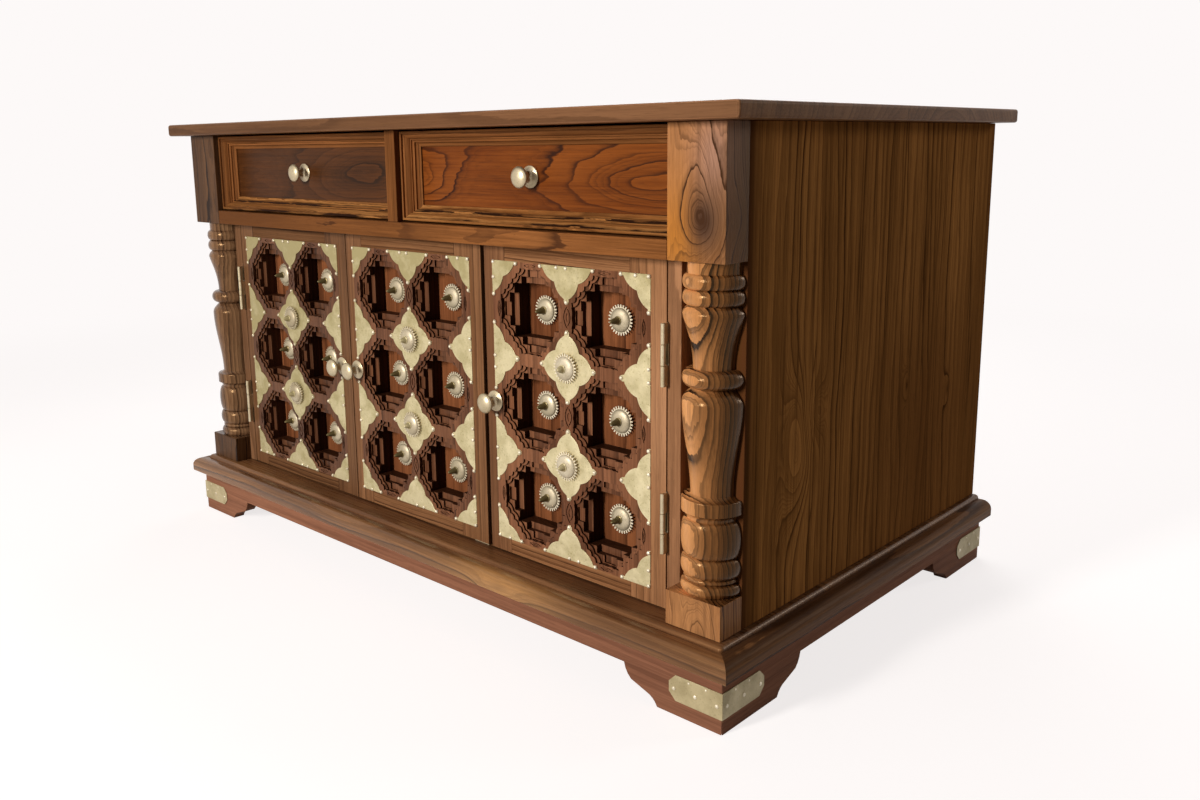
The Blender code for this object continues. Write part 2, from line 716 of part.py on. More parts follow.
def frame_profile():
    """(inset, depth behind the rim) points round a drawer front's moulding: stepped hollow, flat back."""
    w = FRAME_WIDTH
    d = FRAME_DEPTH
    return [
        (0.0, 0.0),
        (w * 0.17, 0.0),
        (w * 0.17, d * 0.16),
        (w * 0.34, d * 0.22),
        (w * 0.52, d * 0.50),
        (w * 0.68, d * 0.56),
        (w * 0.68, d * 0.68),
        (w * 0.92, d * 0.88),
        (w, d * 0.90),
        (w, d),
        (0.0, d),
    ]


def drawer_frame_mesh(x, z):
    """The mitred moulding between the limits x and z, as one ring."""
    bm = bmesh.new()
    loops = []
    for inset, depth in frame_profile():
        y = FACE_Y + DRAWER_RIM_SETBACK + depth
        corners = (
            (x[0] + inset, y, z[0] + inset),
            (x[1] - inset, y, z[0] + inset),
            (x[1] - inset, y, z[1] - inset),
            (x[0] + inset, y, z[1] - inset),
        )
        loops.append([bm.verts.new(corner) for corner in corners])
    for i in range(len(loops)):
        first = loops[i]
        second = loops[(i + 1) % len(loops)]
        for k in range(4):
            m = (k + 1) % 4
            bm.faces.new((first[k], first[m], second[m], second[k]))
    return mesh_from(bm, "frame")


def drawer(side, x, knob_shift, wood, inner_wood, brass):
    """One drawer between the limits x: front board with applied moulding, box of four boards, knob."""
    front_z = (RAIL_TOP + DRAWER_FRONT_LIFT, TOP_UNDERSIDE - DRAWER_FRONT_LIFT)
    middle = ((x[0] + x[1]) / 2, (front_z[0] + front_z[1]) / 2)
    slide = joint_empty(f"{side}_drawer_slide", (middle[0], DRAWER_FRONT_Y, RAIL_TOP))
    name = f"{side}_drawer"
    front_back = DRAWER_FRONT_Y + DRAWER_FRONT_THICKNESS
    box(f"{name}_front", x, (DRAWER_FRONT_Y, front_back), front_z, wood, slide)
    place_piece(f"{name}_moulding", drawer_frame_mesh(x, front_z), wood, slide)
    side_y = (front_back + GAP, front_back + GAP + DRAWER_SIDE_LENGTH)
    side_z = (RAIL_TOP + GAP, RAIL_TOP + GAP + DRAWER_SIDE_HEIGHT)
    inner_x = (x[0] + DRAWER_SIDE_THICKNESS, x[1] - DRAWER_SIDE_THICKNESS)
    box(f"{name}_left_side", (x[0], inner_x[0]), side_y, side_z, inner_wood, slide)
    box(f"{name}_right_side", (inner_x[1], x[1]), side_y, side_z, inner_wood, slide)
    between = (inner_x[0] + GAP, inner_x[1] - GAP)
    back_y = (side_y[1] - DRAWER_BACK_THICKNESS, side_y[1])
    box(f"{name}_back", between, back_y, side_z, inner_wood, slide)
    bottom_y = (side_y[0], back_y[0] - GAP)
    bottom = side_z[0] + DRAWER_BOTTOM_LIFT
    box(f"{name}_bottom", between, bottom_y, (bottom, bottom + DRAWER_BOTTOM_THICKNESS), inner_wood, slide)
    knob = knob_mesh(middle[0] + knob_shift[0], DRAWER_FRONT_Y - GAP, middle[1] + knob_shift[1])
    place_piece(f"{name}_knob", knob, brass, slide, smooth=True)


def drawers(wood, inner_wood, brass):
    near = MUNTIN_WIDTH / 2 + DRAWER_GAP
    far = POST_INNER - DRAWER_GAP
    drawer("left", (-far, -near), LEFT_DRAWER_KNOB_SHIFT, wood, inner_wood, brass)
    drawer("right", (near, far), RIGHT_DRAWER_KNOB_SHIFT, wood, inner_wood, brass)


# Doors


def door_spans():
    """Left and right edge of each door."""
    left = -STILE_INNER + DOOR_GAP
    middle = left + DOOR_WIDTH + DOOR_GAP
    right = middle + DOOR_WIDTH + MIDDLE_DOOR_GAP
    return {
        "left": (left, left + DOOR_WIDTH),
        "middle": (middle, middle + DOOR_WIDTH),
        "right": (right, right + DOOR_WIDTH),
    }


def plus_outline(reach, arm):
    """The twelve corners of a plus sign with arms of that reach and half width."""
    quarter = [(reach, arm), (arm, arm), (arm, reach)]
    return [quarter_turned(point, turn) for turn in range(4) for point in quarter]


def niche_centres(centre):
    x, z = centre
    rows = [NICHE_PITCH * (row - (NICHE_ROWS - 1) / 2) for row in range(NICHE_ROWS)]
    return [(x + column * NICHE_PITCH / 2, z + row) for row in rows for column in (-1, 1)]


def junctions(centre):
    """The places between four niches, where the full plates sit."""
    x, z = centre
    return [(x, z + NICHE_PITCH * (row - NICHE_ROWS / 2)) for row in range(1, NICHE_ROWS)]


def niche_cutters(centre, outline, depth):
    """A cutter of that outline and depth at each niche of a door."""
    bm = bmesh.new()
    for x, z in niche_centres(centre):
        add_prism(bm, outline, DOOR_Y - GAP, DOOR_Y + depth, lambda a, b, y: (x + a, y, z + b))
    return mesh_from(bm, "niches")


def square_outline(half):
    return [(half, half), (-half, half), (-half, -half), (half, -half)]


def quarter_turned(point, turns):
    """The point (a, b), turned about the middle by that many quarter turns."""
    a, b = point
    for _ in range(turns % 4):
        a, b = -b, a
    return (a, b)


def plate_side():
    """(a, b) points of one side of a plate, from tip to tip: neck, lobe, cusp, lobe, neck."""
    tip = PLATE_TIP_WIDTH / 2
    neck = (PLATE_HALF - PLATE_TIP_LENGTH, PLATE_NECK_WIDTH / 2)
    cusp = (PLATE_HALF / 2 - PLATE_CUSP_DEPTH, PLATE_HALF / 2 - PLATE_CUSP_DEPTH)
    first = [(PLATE_HALF, tip), neck]
    first += arc(neck, cusp, -PLATE_LOBE_RISE, PLATE_LOBE_STEPS)
    second = [(b, a) for a, b in reversed(first[:-1])]
    return first + second


def plate_outline(quarters):
    """A plate made of some of the four quarters of the lobed diamond, cut along lines through its middle."""
    points = []
    for turn in quarters:
        for point in plate_side():
            points.append(quarter_turned(point, turn))
    if len(quarters) == 4:
        return points
    first_tip = quarter_turned((PLATE_HALF, 0.0), quarters[0])
    last_tip = quarter_turned((PLATE_HALF, 0.0), quarters[-1] + 1)
    points = [first_tip, *points, last_tip]
    if len(quarters) == 1:
        points.append((0.0, 0.0))
    return points


def door_plates(centre):
    """The twelve plates of a door as (x, z, outline): two whole, six halves on the border, four corners."""
    x, z = centre
    wide = PATTERN_HALF_WIDTH
    high = PATTERN_HALF_HEIGHT
    plates = [(px, pz, plate_outline((0, 1, 2, 3))) for px, pz in junctions(centre)]
    for _, pz in junctions(centre):
        plates.append((x - wide, pz, plate_outline((3, 0))))
        plates.append((x + wide, pz, plate_outline((1, 2))))
    plates.append((x, z + high, plate_outline((2, 3))))
    plates.append((x, z - high, plate_outline((0, 1))))
    plates.append((x - wide, z - high, plate_outline((0,))))
    plates.append((x + wide, z - high, plate_outline((1,))))
    plates.append((x + wide, z + high, plate_outline((2,))))
    plates.append((x - wide, z + high, plate_outline((3,))))
    return plates


def plates_mesh(centre):
    """All plates of a door, let into its face by half their thickness."""
    bm = bmesh.new()
    for x, z, outline in door_plates(centre):
        back = DOOR_Y + PLATE_THICKNESS / 2
        front = DOOR_Y - PLATE_THICKNESS
        add_prism(bm, outline, front, back, lambda a, b, y: (x + a, y, z + b))
    return mesh_from(bm, "plates")


def door_slab_mesh(span, free):
    """The door's thick panel, with its free edge bevelled so that it clears its neighbour as it swings."""
    back_y = DOOR_Y + DOOR_THICKNESS
    left_back = span[0] + (DOOR_BEVEL if free < 0 else 0.0)
    right_back = span[1] - (DOOR_BEVEL if free > 0 else 0.0)
    plan = [(span[0], DOOR_Y), (span[1], DOOR_Y), (right_back, back_y), (left_back, back_y)]
    bm = bmesh.new()
    add_prism(bm, plan, DOOR_BOTTOM, DOOR_TOP, lambda a, b, z: (a, b, z))
    return mesh_from(bm, "slab")


def door_panel(name, span, free, wood, brass, parent, cutters):
    """The panel with its stepped niches, plates and their studs, and the back board with the other studs."""
    centre = ((span[0] + span[1]) / 2 + PATTERN_SHIFT, DOOR_MIDDLE_Z)
    mesh = door_slab_mesh(span, free)
    steps = (
        (square_outline(NICHE_INNER), DOOR_THICKNESS + GAP),
        (plus_outline(NICHE_MIDDLE, NICHE_ARM_WIDE), NICHE_DEPTH_WIDE),
        (plus_outline(NICHE_OUTER, NICHE_ARM_NARROW), NICHE_DEPTH_NARROW),
    )
    for outline, depth in steps:
        mesh = combined(mesh, niche_cutters(centre, outline, depth), "DIFFERENCE")
    for cutter in cutters:
        mesh = combined(mesh, cutter, "DIFFERENCE")
    mesh = combined(mesh, plates_mesh(centre), "UNION")
    stud_face = DOOR_Y - PLATE_THICKNESS
    root = 2 * PLATE_THICKNESS
    studs = studs_mesh(junctions(centre), stud_face, root, PLATE_STUD_LIFT, PLATE_SPIKE_LENGTH)
    mesh = combined(mesh, studs, "UNION")
    panel = place_piece(f"{name}_panel", mesh, wood, parent)
    panel.data.materials.append(brass)
    proud = DOOR_Y - parent.location.y - PLATE_THICKNESS / 2
    for face in panel.data.polygons:
        if face.center.y < proud:
            face.material_index = 1
    back_x = (span[0] + DOOR_BACK_INSET, span[1] - DOOR_BACK_INSET)
    back_y = (DOOR_BACK_Y, DOOR_BACK_Y + DOOR_BACK_THICKNESS)
    back_z = (DOOR_BOTTOM + DOOR_BACK_INSET, DOOR_TOP - DOOR_BACK_INSET)
    back = box_mesh((back_x[0], back_y[0], back_z[0]), (back_x[1], back_y[1], back_z[1]))
    root = DOOR_BACK_THICKNESS / 2
    studs = studs_mesh(niche_centres(centre), DOOR_BACK_Y, root, NICHE_STUD_LIFT, NICHE_SPIKE_LENGTH)
    back = combined(back, studs, "UNION")
    board = place_piece(f"{name}_back_board", back, wood, parent)
    board.data.materials.append(brass)
    for face in board.data.polygons:
        if face.center.y < DOOR_BACK_Y - parent.location.y - GAP:
            face.material_index = 1


def hinge_pieces(door, level, axis_x, sign, z, parent, brass):
    """A butt hinge: outer knuckles, pin and leaf on the stile, middle knuckle and leaf on the door."""
    third = HINGE_LENGTH / 3
    half = HINGE_LENGTH / 2
    plate_y = (DOOR_Y + GAP, HINGE_Y + HINGE_LEAF_WIDTH)
    near = HINGE_LEAF_APART / 2
    far = near + HINGE_LEAF_THICKNESS

    def turned(radius, low, high):
        bm = bmesh.new()
        at = lambda u, v, height: (axis_x + u, HINGE_Y + v, height)
        add_turning(bm, [(low, radius), (high, radius)], HINGE_SIDES, at)
        return mesh_from(bm, "knuckle")

    def slab(side, y, low, high):
        x_low, x_high = sorted((axis_x + side * near, axis_x + side * far))
        return box_mesh((x_low, y[0], low), (x_high, y[1], high))

    tab_y = (HINGE_Y, plate_y[0] + GAP)
    frame_leaf = slab(sign, plate_y, z - half, z + half)
    for low, high in ((z - half, z - third / 2 - GAP), (z + third / 2 + GAP, z + half)):
        frame_leaf = combined(frame_leaf, slab(sign, tab_y, low, high), "UNION")
        frame_leaf = combined(frame_leaf, turned(HINGE_RADIUS, low, high), "UNION")
    frame_leaf = combined(frame_leaf, turned(HINGE_PIN_RADIUS, z - third, z + third), "UNION")
    place_piece(f"{door}_{level}_hinge_frame_leaf", frame_leaf, brass)
    low, high = z - third / 2 + GAP, z + third / 2 - GAP
    door_leaf = slab(-sign, plate_y, z - half, z + half)
    door_leaf = combined(door_leaf, slab(-sign, tab_y, low, high), "UNION")
    door_leaf = combined(door_leaf, turned(HINGE_RADIUS, low, high), "UNION")
    bore = turned(HINGE_PIN_RADIUS + HINGE_PIN_CLEARANCE, low - GAP, high + GAP)
    door_leaf = combined(door_leaf, bore, "DIFFERENCE")
    place_piece(f"{door}_{level}_hinge_door_leaf", door_leaf, brass, parent)


def outer_door(side, sign, knob_inset, wood, brass):
    """A door hung on two butt hinges from the stile on its own side."""
    span = door_spans()[side]
    edge = span[1] if sign > 0 else span[0]
    axis_x = edge + sign * DOOR_GAP / 2
    name = f"{side}_door"
    swing = joint_empty(f"{name}_swing", (axis_x, HINGE_Y, DOOR_MIDDLE_Z))
    cutters = [mortise(edge, -sign, z) for z in hinge_heights().values()]
    door_panel(name, span, -sign, wood, brass, swing, cutters)
    for level, z in hinge_heights().items():
        hinge_pieces(name, level, axis_x, sign, z, swing, brass)
    knob_x = (span[0] if sign > 0 else span[1]) + sign * knob_inset
    knob = knob_mesh(knob_x, DOOR_Y - GAP, DOOR_MIDDLE_Z)
    place_piece(f"{name}_knob", knob, brass, swing, smooth=True)


def pivot_mesh(x, y, seat, into):
    """A pivot plate on the level seat with a pin that stands in the direction into, along Z."""
    plate = sorted((seat, seat + into * PIVOT_PLATE_THICKNESS))
    pin = sorted((seat + into * GAP, seat + into * PIVOT_DEPTH))
    mesh = box_mesh(
        (x - PIVOT_PLATE_LENGTH + PIVOT_PLATE_WIDTH / 2, y - PIVOT_PLATE_WIDTH / 2, plate[0]),
        (x + PIVOT_PLATE_WIDTH / 2, y + PIVOT_PLATE_WIDTH / 2, plate[1]),
    )
    bm = bmesh.new()
    add_turning(bm, [(z, PIVOT_RADIUS) for z in pin], HINGE_SIDES, lambda u, v, z: (x + u, y + v, z))
    return combined(mesh, mesh_from(bm, "pin"), "UNION")


def middle_door(wood, brass):
    """The middle door turns on hidden pins above and below its right edge."""
    span = door_spans()["middle"]
    axis = (span[1] - PIVOT_INSET, DOOR_Y + PIVOT_INSET)
    swing = joint_empty("middle_door_swing", (*axis, DOOR_MIDDLE_Z))
    cutters = []
    for level, seat, into in (("lower", STAND, 1), ("upper", RAIL_BOTTOM - GAP, -1)):
        place_piece(f"middle_door_{level}_pivot", pivot_mesh(*axis, seat, into), brass)
        hole = sorted((seat, seat + into * (PIVOT_DEPTH + GAP)))
        bm = bmesh.new()
        radius = PIVOT_RADIUS + PIVOT_CLEARANCE
        at_axis = lambda u, v, z: (axis[0] + u, axis[1] + v, z)
        add_turning(bm, [(z, radius) for z in hole], HINGE_SIDES, at_axis)
        cutters.append(mesh_from(bm, "hole"))
    door_panel("middle_door", span, -1, wood, brass, swing, cutters)
    knob = knob_mesh(span[0] + KNOB_INSET, DOOR_Y - GAP, DOOR_MIDDLE_Z)
    place_piece("middle_door_knob", knob, brass, swing, smooth=True)


def main():
    clear_scene()
    teak = make_material("teak", (0.20, 0.085, 0.032), 0.35, 0.0)
    teak_side = make_material("teak_side", (0.13, 0.065, 0.026), 0.42, 0.0)
    teak_door = make_material("teak_door", (0.15, 0.055, 0.026), 0.40, 0.0)
    teak_inner = make_material("teak_inner", (0.22, 0.12, 0.060), 0.60, 0.0)
    brass = make_material("brass", (0.62, 0.52, 0.27), 0.32, 1.0)
    top_board(teak)
    base_board(teak)
    base_mouldings(teak)
    plinth_boards(teak)
    foot_straps(brass)
    for side, sign in (("left", -1), ("right", 1)):
        corner_post(side, sign, teak)
        stile(side, sign, teak)
    carcass_boards(teak_side, teak_inner)
    drawers(teak, teak_inner, brass)
    outer_door("left", -1, LEFT_KNOB_INSET, teak_door, brass)
    middle_door(teak_door, brass)
    outer_door("right", 1, KNOB_INSET, teak_door, brass)


main()
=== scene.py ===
"""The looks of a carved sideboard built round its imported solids: figured wood, brass, carving and light."""

import json
import math

import bmesh
import bpy
from mathutils import Euler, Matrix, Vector

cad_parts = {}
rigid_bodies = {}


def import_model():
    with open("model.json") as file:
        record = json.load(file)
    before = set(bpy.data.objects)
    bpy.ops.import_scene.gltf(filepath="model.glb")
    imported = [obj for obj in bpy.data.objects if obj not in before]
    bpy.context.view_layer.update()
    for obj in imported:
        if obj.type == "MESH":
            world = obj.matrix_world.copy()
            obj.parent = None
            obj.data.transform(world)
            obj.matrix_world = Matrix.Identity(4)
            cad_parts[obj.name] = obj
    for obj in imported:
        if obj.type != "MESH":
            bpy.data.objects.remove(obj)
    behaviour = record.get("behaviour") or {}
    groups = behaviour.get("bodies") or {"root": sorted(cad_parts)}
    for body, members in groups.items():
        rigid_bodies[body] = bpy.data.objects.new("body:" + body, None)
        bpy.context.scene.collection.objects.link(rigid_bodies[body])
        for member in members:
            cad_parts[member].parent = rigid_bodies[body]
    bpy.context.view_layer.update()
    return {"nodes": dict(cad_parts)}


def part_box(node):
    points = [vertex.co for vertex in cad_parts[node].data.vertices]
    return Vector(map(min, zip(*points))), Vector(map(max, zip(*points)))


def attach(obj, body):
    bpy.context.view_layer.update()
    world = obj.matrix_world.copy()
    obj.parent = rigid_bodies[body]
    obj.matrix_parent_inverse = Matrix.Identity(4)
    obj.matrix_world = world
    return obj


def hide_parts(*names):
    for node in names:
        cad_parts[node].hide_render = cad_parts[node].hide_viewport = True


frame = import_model()

# Camera of the photograph
CAMERA_PLACE = (1.22902, -1.26199, 0.66709)
CAMERA_TURN = (79.005, 0.743, 43.2176)
CAMERA_LENS = 31.621
CAMERA_SHIFT = (0.02207, -0.0423)

# Background, floor and light
BACKDROP = (0.982, 0.947, 0.939)
AMBIENT = 0.035
FLOOR_ALBEDO = 0.45
FLOOR_TINT = (1.0, 0.98, 0.97)
FLOOR_SHADE = 0.42
FLOOR_LIGHT = 0.45
FLOOR_FADE = (1.1, 3.2)
FLOOR_HALF = 30.0
AMBIENT_COLOUR = (1.0, 0.98, 0.96, 1.0)
WARM = (1.0, 0.97, 0.93)

# Edges and small gaps
GAP = 0.0003
BOARD_EDGE = 0.0009
BRASS_EDGE = 0.00035
WELD_DISTANCE = 0.00001
CUT_TOLERANCE = 0.000001

# Top and base
TOP_ROUND = 0.004
NOSING_ROUND = 0.0055
LIP_ROUND = (0.0147, 0.013)
ROUND_STEPS = 10
LIP_CHAMFER = 0.0012

# Turned columns
BOTTOM_BLOCK_HEIGHT = 0.043
COLUMN_RADIUS = 0.038
NECK_RADIUS = 0.0255
LOWER_NECK_RADIUS = 0.0275
GROOVE_RADIUS = 0.0315
COLLAR_RADIUS = 0.033
COLLAR_HEIGHT = 0.014
UPPER_RING_HEIGHT = 0.018
UPPER_VASE_HEIGHT = 0.073
UPPER_VASE_EASE = 0.65
LOWER_VASE_EASE = 1.0
MIDDLE_RING_HEIGHT = 0.022
BAND_HEIGHT = 0.030
BALL_HEIGHT = 0.045
LOWER_RING_HEIGHT = 0.024
COVE_HEIGHT = 0.007
FOOT_RING_HEIGHT = 0.015
TENON_LENGTH = 0.003
COLUMN_SIDES = 96
VASE_STEPS = 28
RING_STEPS = 14

# Brass straps
STRAP_CHAMFER = 0.010
STRAP_THICKNESS = 0.0012
STRAP_NAIL_RADIUS = 0.0026
STRAP_PIN_RADIUS = 0.0015
STRAP_NAIL_SHARES = (0.10, 0.50, 0.90)
STRAP_PIN_SHARES = (0.30, 0.62)
STRAP_NAIL_DROP = 0.001
STRAP_PIN_DROP = 0.0035
STRAP_NAIL_DOME = 0.6

# Drawer mouldings
FRAME_WIDTH = 0.021

# Carved doors
PLATE_MARGIN = 0.020
NICHE_ROWS = 3
NICHE_INNER = 0.0364
NICHE_STEP = 0.0094
NICHE_ARM_WIDE = 0.0225
NICHE_ARM_NARROW = 0.0095
NICHE_DEPTH_WIDE = 0.0145
NICHE_DEPTH_NARROW = 0.0088
PATTERN_SHIFT = -0.0035
DOOR_BEVEL = 0.0035
GROUND_REACH = 0.0575
BAND_LEVELS = (
    {"depth": 0.0028, "from_plate": 0.0032, "scallops": 5, "rise": 0.0030},
    {"depth": 0.0058, "from_plate": 0.0076, "scallops": 4, "rise": 0.0026},
)
EYE_LENGTH = 0.029
EYE_WIDTH = 0.0125
EYE_GROOVE = 0.0013
EYE_DEPTH = 0.0014
JOINT_WIDTH = 0.0005
JOINT_DEPTH = 0.0006
LEFT_STILE_WIDTH = 0.040
RIGHT_STILE_WIDTH = 0.056

# Brass plates and nails
PLATE_THICKNESS = 0.0011
PLATE_TIP_GAP = 0.0165
PLATE_TIP_LENGTH = 0.007
PLATE_TIP_WIDTH = 0.005
PLATE_NECK_WIDTH = 0.008
PLATE_CUSP_DEPTH = 0.0035
PLATE_LOBE_RISE = 0.0032
NAIL_RADIUS = 0.0028
NAIL_HEIGHT = 0.0022
NAIL_INSET = 0.0030
NAIL_STEPS = 5
NAIL_SIDES = 14

# Studs and knobs
STUD_RADIUS = 0.0198
STUD_PEDESTAL_RADIUS = 0.015
STUD_TEETH = 27
STUD_VALLEY_RADIUS = 0.0164
TOOTH_THICKNESS = 0.0016
STUD_SIDES = 48
DOME_RADIUS = 0.0158
DOME_HEIGHT = 0.0048
DOME_STEPS = 10
SPIKE_RADIUS = 0.0047
NICHE_STUD = {"lift": 0.004, "spike": 0.0155}
PLATE_STUD = {"lift": 0.003, "spike": 0.0095}
KNOB_SIDES = 48
KNOB_STEPS = 8
KNOB_PLATE_RADIUS = 0.0145
KNOB_STEM_RADIUS = 0.0050
KNOB_HEAD_RADIUS = 0.0140
KNOB_COLLAR = 0.0012
KNOB_HEAD_BACK = 0.0105
KNOB_HEAD_RIM = 0.0045
KNOB_HEAD_FRONT = 0.0060
KNOB_PLATE_STEPS = (
    (0.0, 0.0), (0.0012, 0.0), (0.0018, 0.0008), (0.0022, 0.0028), (0.0030, 0.0034), (0.0036, 0.0060),
)

# Hinges
HINGE_RADIUS = 0.003
HINGE_SIDES = 24
HINGE_RIM = 0.0004
HINGE_LEAF = (0.0005, 0.0020)

# Places read from the frame
DOOR_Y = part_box("right_stile")[0].y
POST_LOW, POST_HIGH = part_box("right_corner_post")
POST_WIDTH = POST_HIGH.x - POST_LOW.x
SHAFT_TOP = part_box("drawer_rail")[0].z
PANEL_LOW, PANEL_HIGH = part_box("right_side_panel")
DOOR_LOW, DOOR_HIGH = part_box("left_door_panel")
DOOR_HEIGHT = DOOR_HIGH.z - DOOR_LOW.z
DOOR_MIDDLE_Z = (DOOR_HIGH.z + DOOR_LOW.z) / 2
DOOR_BACK_Y = DOOR_HIGH.y
NICHE_PITCH = (DOOR_HEIGHT - 2 * PLATE_MARGIN) / NICHE_ROWS
PLATE_HALF = NICHE_PITCH / 2 - PLATE_TIP_GAP
PATTERN_HALF_WIDTH = (DOOR_HIGH.x - DOOR_LOW.x) / 2 - PLATE_MARGIN
PATTERN_HALF_HEIGHT = DOOR_HEIGHT / 2 - PLATE_MARGIN


# Shader building


class Paint:
    """A new material or world whose nodes are added by short calls.

    Sockets and plain values can be mixed in any call."""

    def __init__(self, owner):
        owner.use_nodes = True
        self.owner = owner
        self.tree = owner.node_tree
        self.surface = self.tree.nodes.get("Principled BSDF")

    def add(self, kind, inputs, output=0, **settings):
        node = self.tree.nodes.new(kind)
        for key, value in settings.items():
            setattr(node, key, value)
        for key, value in inputs.items():
            self.feed(node.inputs[key], value)
        return node.outputs[output]

    def feed(self, socket, value):
        if isinstance(value, bpy.types.NodeSocket):
            self.tree.links.new(value, socket)
        else:
            socket.default_value = value

    def math(self, operation, a, b=0.0, c=0.0, clamp=False):
        return self.add("ShaderNodeMath", {0: a, 1: b, 2: c}, operation=operation, use_clamp=clamp)

    def vector(self, operation, a, b=(0.0, 0.0, 0.0), output=0):
        return self.add("ShaderNodeVectorMath", {0: a, 1: b}, output, operation=operation)

    def noise(self, place, stretch, seed, detail=2.0, roughness=0.5, output=0):
        away = (seed * 3.7, seed * 1.9, seed * 5.3)
        moved = self.vector("ADD", self.vector("MULTIPLY", place, stretch), away)
        inputs = {"Vector": moved, "Scale": 1.0, "Detail": detail, "Roughness": roughness}
        return self.add("ShaderNodeTexNoise", inputs, output)

    def ramp(self, value, stops):
        """A grey ramp through (position, level) stops."""
        node = self.tree.nodes.new("ShaderNodeValToRGB")
        elements = node.color_ramp.elements
        while len(elements) < len(stops):
            elements.new(0.5)
        for element, (position, level) in zip(elements, stops):
            element.position = position
            element.color = (level, level, level, 1.0)
        self.feed(node.inputs[0], value)
        return node.outputs[0]

    def span(self, value, low, high, bottom=0.0, top=1.0):
        """The value's way from low to high, held to that range and mapped to bottom up to top."""
        inputs = {"Value": value, "From Min": low, "From Max": high, "To Min": bottom, "To Max": top}
        return self.add("ShaderNodeMapRange", inputs)

    def chance(self, number, seed):
        """A random level for each whole number."""
        inputs = {"W": self.math("ADD", number, seed)}
        return self.add("ShaderNodeTexWhiteNoise", inputs, noise_dimensions="1D")

    def bell(self, place, centre, radii, sharpness=1.0):
        """One at the centre, fading to nothing a little past the radii."""
        away = self.vector("DIVIDE", self.vector("SUBTRACT", place, centre), radii)
        square = self.vector("DOT_PRODUCT", away, away, output=1)
        return self.math("EXPONENT", self.math("MULTIPLY", square, -sharpness))

    def add_centred(self, noise, reach, value, clamp=False):
        """The value, raised or lowered by up to half the reach as the noise says."""
        return self.math("MULTIPLY_ADD", self.math("SUBTRACT", noise, 0.5), reach, value, clamp)

    def mix(self, share, a, b):
        """Two colours mixed by share."""
        node = self.tree.nodes.new("ShaderNodeMix")
        node.data_type = "RGBA"
        for index, value in ((0, share), (6, a), (7, b)):
            self.feed(node.inputs[index], value if not isinstance(value, tuple) else (*value, 1.0))
        return node.outputs[2]

    def split(self, vector):
        node = self.tree.nodes.new("ShaderNodeSeparateXYZ")
        self.feed(node.inputs[0], vector)
        return node.outputs

    def joined(self, x, y, z):
        return self.add("ShaderNodeCombineXYZ", {0: x, 1: y, 2: z})

    def bump(self, height, strength, distance):
        inputs = {"Height": height, "Strength": strength, "Distance": distance}
        self.feed(self.surface.inputs["Normal"], self.add("ShaderNodeBump", inputs))

    def finish(self, **sockets):
        """Feeds the surface's sockets, named with underscores for spaces."""
        for key, value in sockets.items():
            self.feed(self.surface.inputs[key.replace("_", " ")], value)
        return self.owner


# Figure of the wood; each noise is (waves per metre across, along, seed's step, detail, roughness)
VARNISH = (1.0, 0.60, 0.28, 1.0)
COAT_ROUGHNESS = 0.15
WOOD_BUMP = (0.20, 0.0006)
BRASS_BUMP = (0.35, 0.0010)
HAMMER_SCALE = 95.0
GRAIN_ORDER = {"X": (1, 2, 0), "Y": (2, 0, 1), "Z": (0, 1, 2)}
PLANK_SHIFT = (0.16, 0.16, 3.0)
KNOT_CORE = 9.0
HAIR_SHARE = 0.34
PORE_SHARE = 0.30
WOOD_NOISE = {
    "slow": (8.0, 1.9, 0.0, 2.0, 0.5),
    "quick": (45.0, 10.0, 2.0, 2.0, 0.5),
    "ragged": (260.0, 55.0, 3.0, 2.0, 0.5),
    "fibre": (400.0, 7.0, 4.0, 4.0, 0.62),
    "pores": (1100.0, 45.0, 6.0, 2.0, 0.5),
    "cloud": (9.0, 2.2, 8.0, 3.0, 0.5),
    "strands": (120.0, 2.6, 12.0, 4.0, 0.65),
    "chips": (170.0, 90.0, 9.0, 2.0, 0.5),
    "glow": (16.0, 6.0, 10.0, 2.0, 0.5),
}


def late_wood(band):
    """Levels across a growth ring: pale for most of it, darkening into a line that ends sharply."""
    start = max(0.02, 1 - 2 * band)
    return ((0.0, 0.0), (start, 0.06), (1 - band, 0.45), (1 - 0.5 * band, 1.0), (0.965, 0.92), (1.0, 0.0))


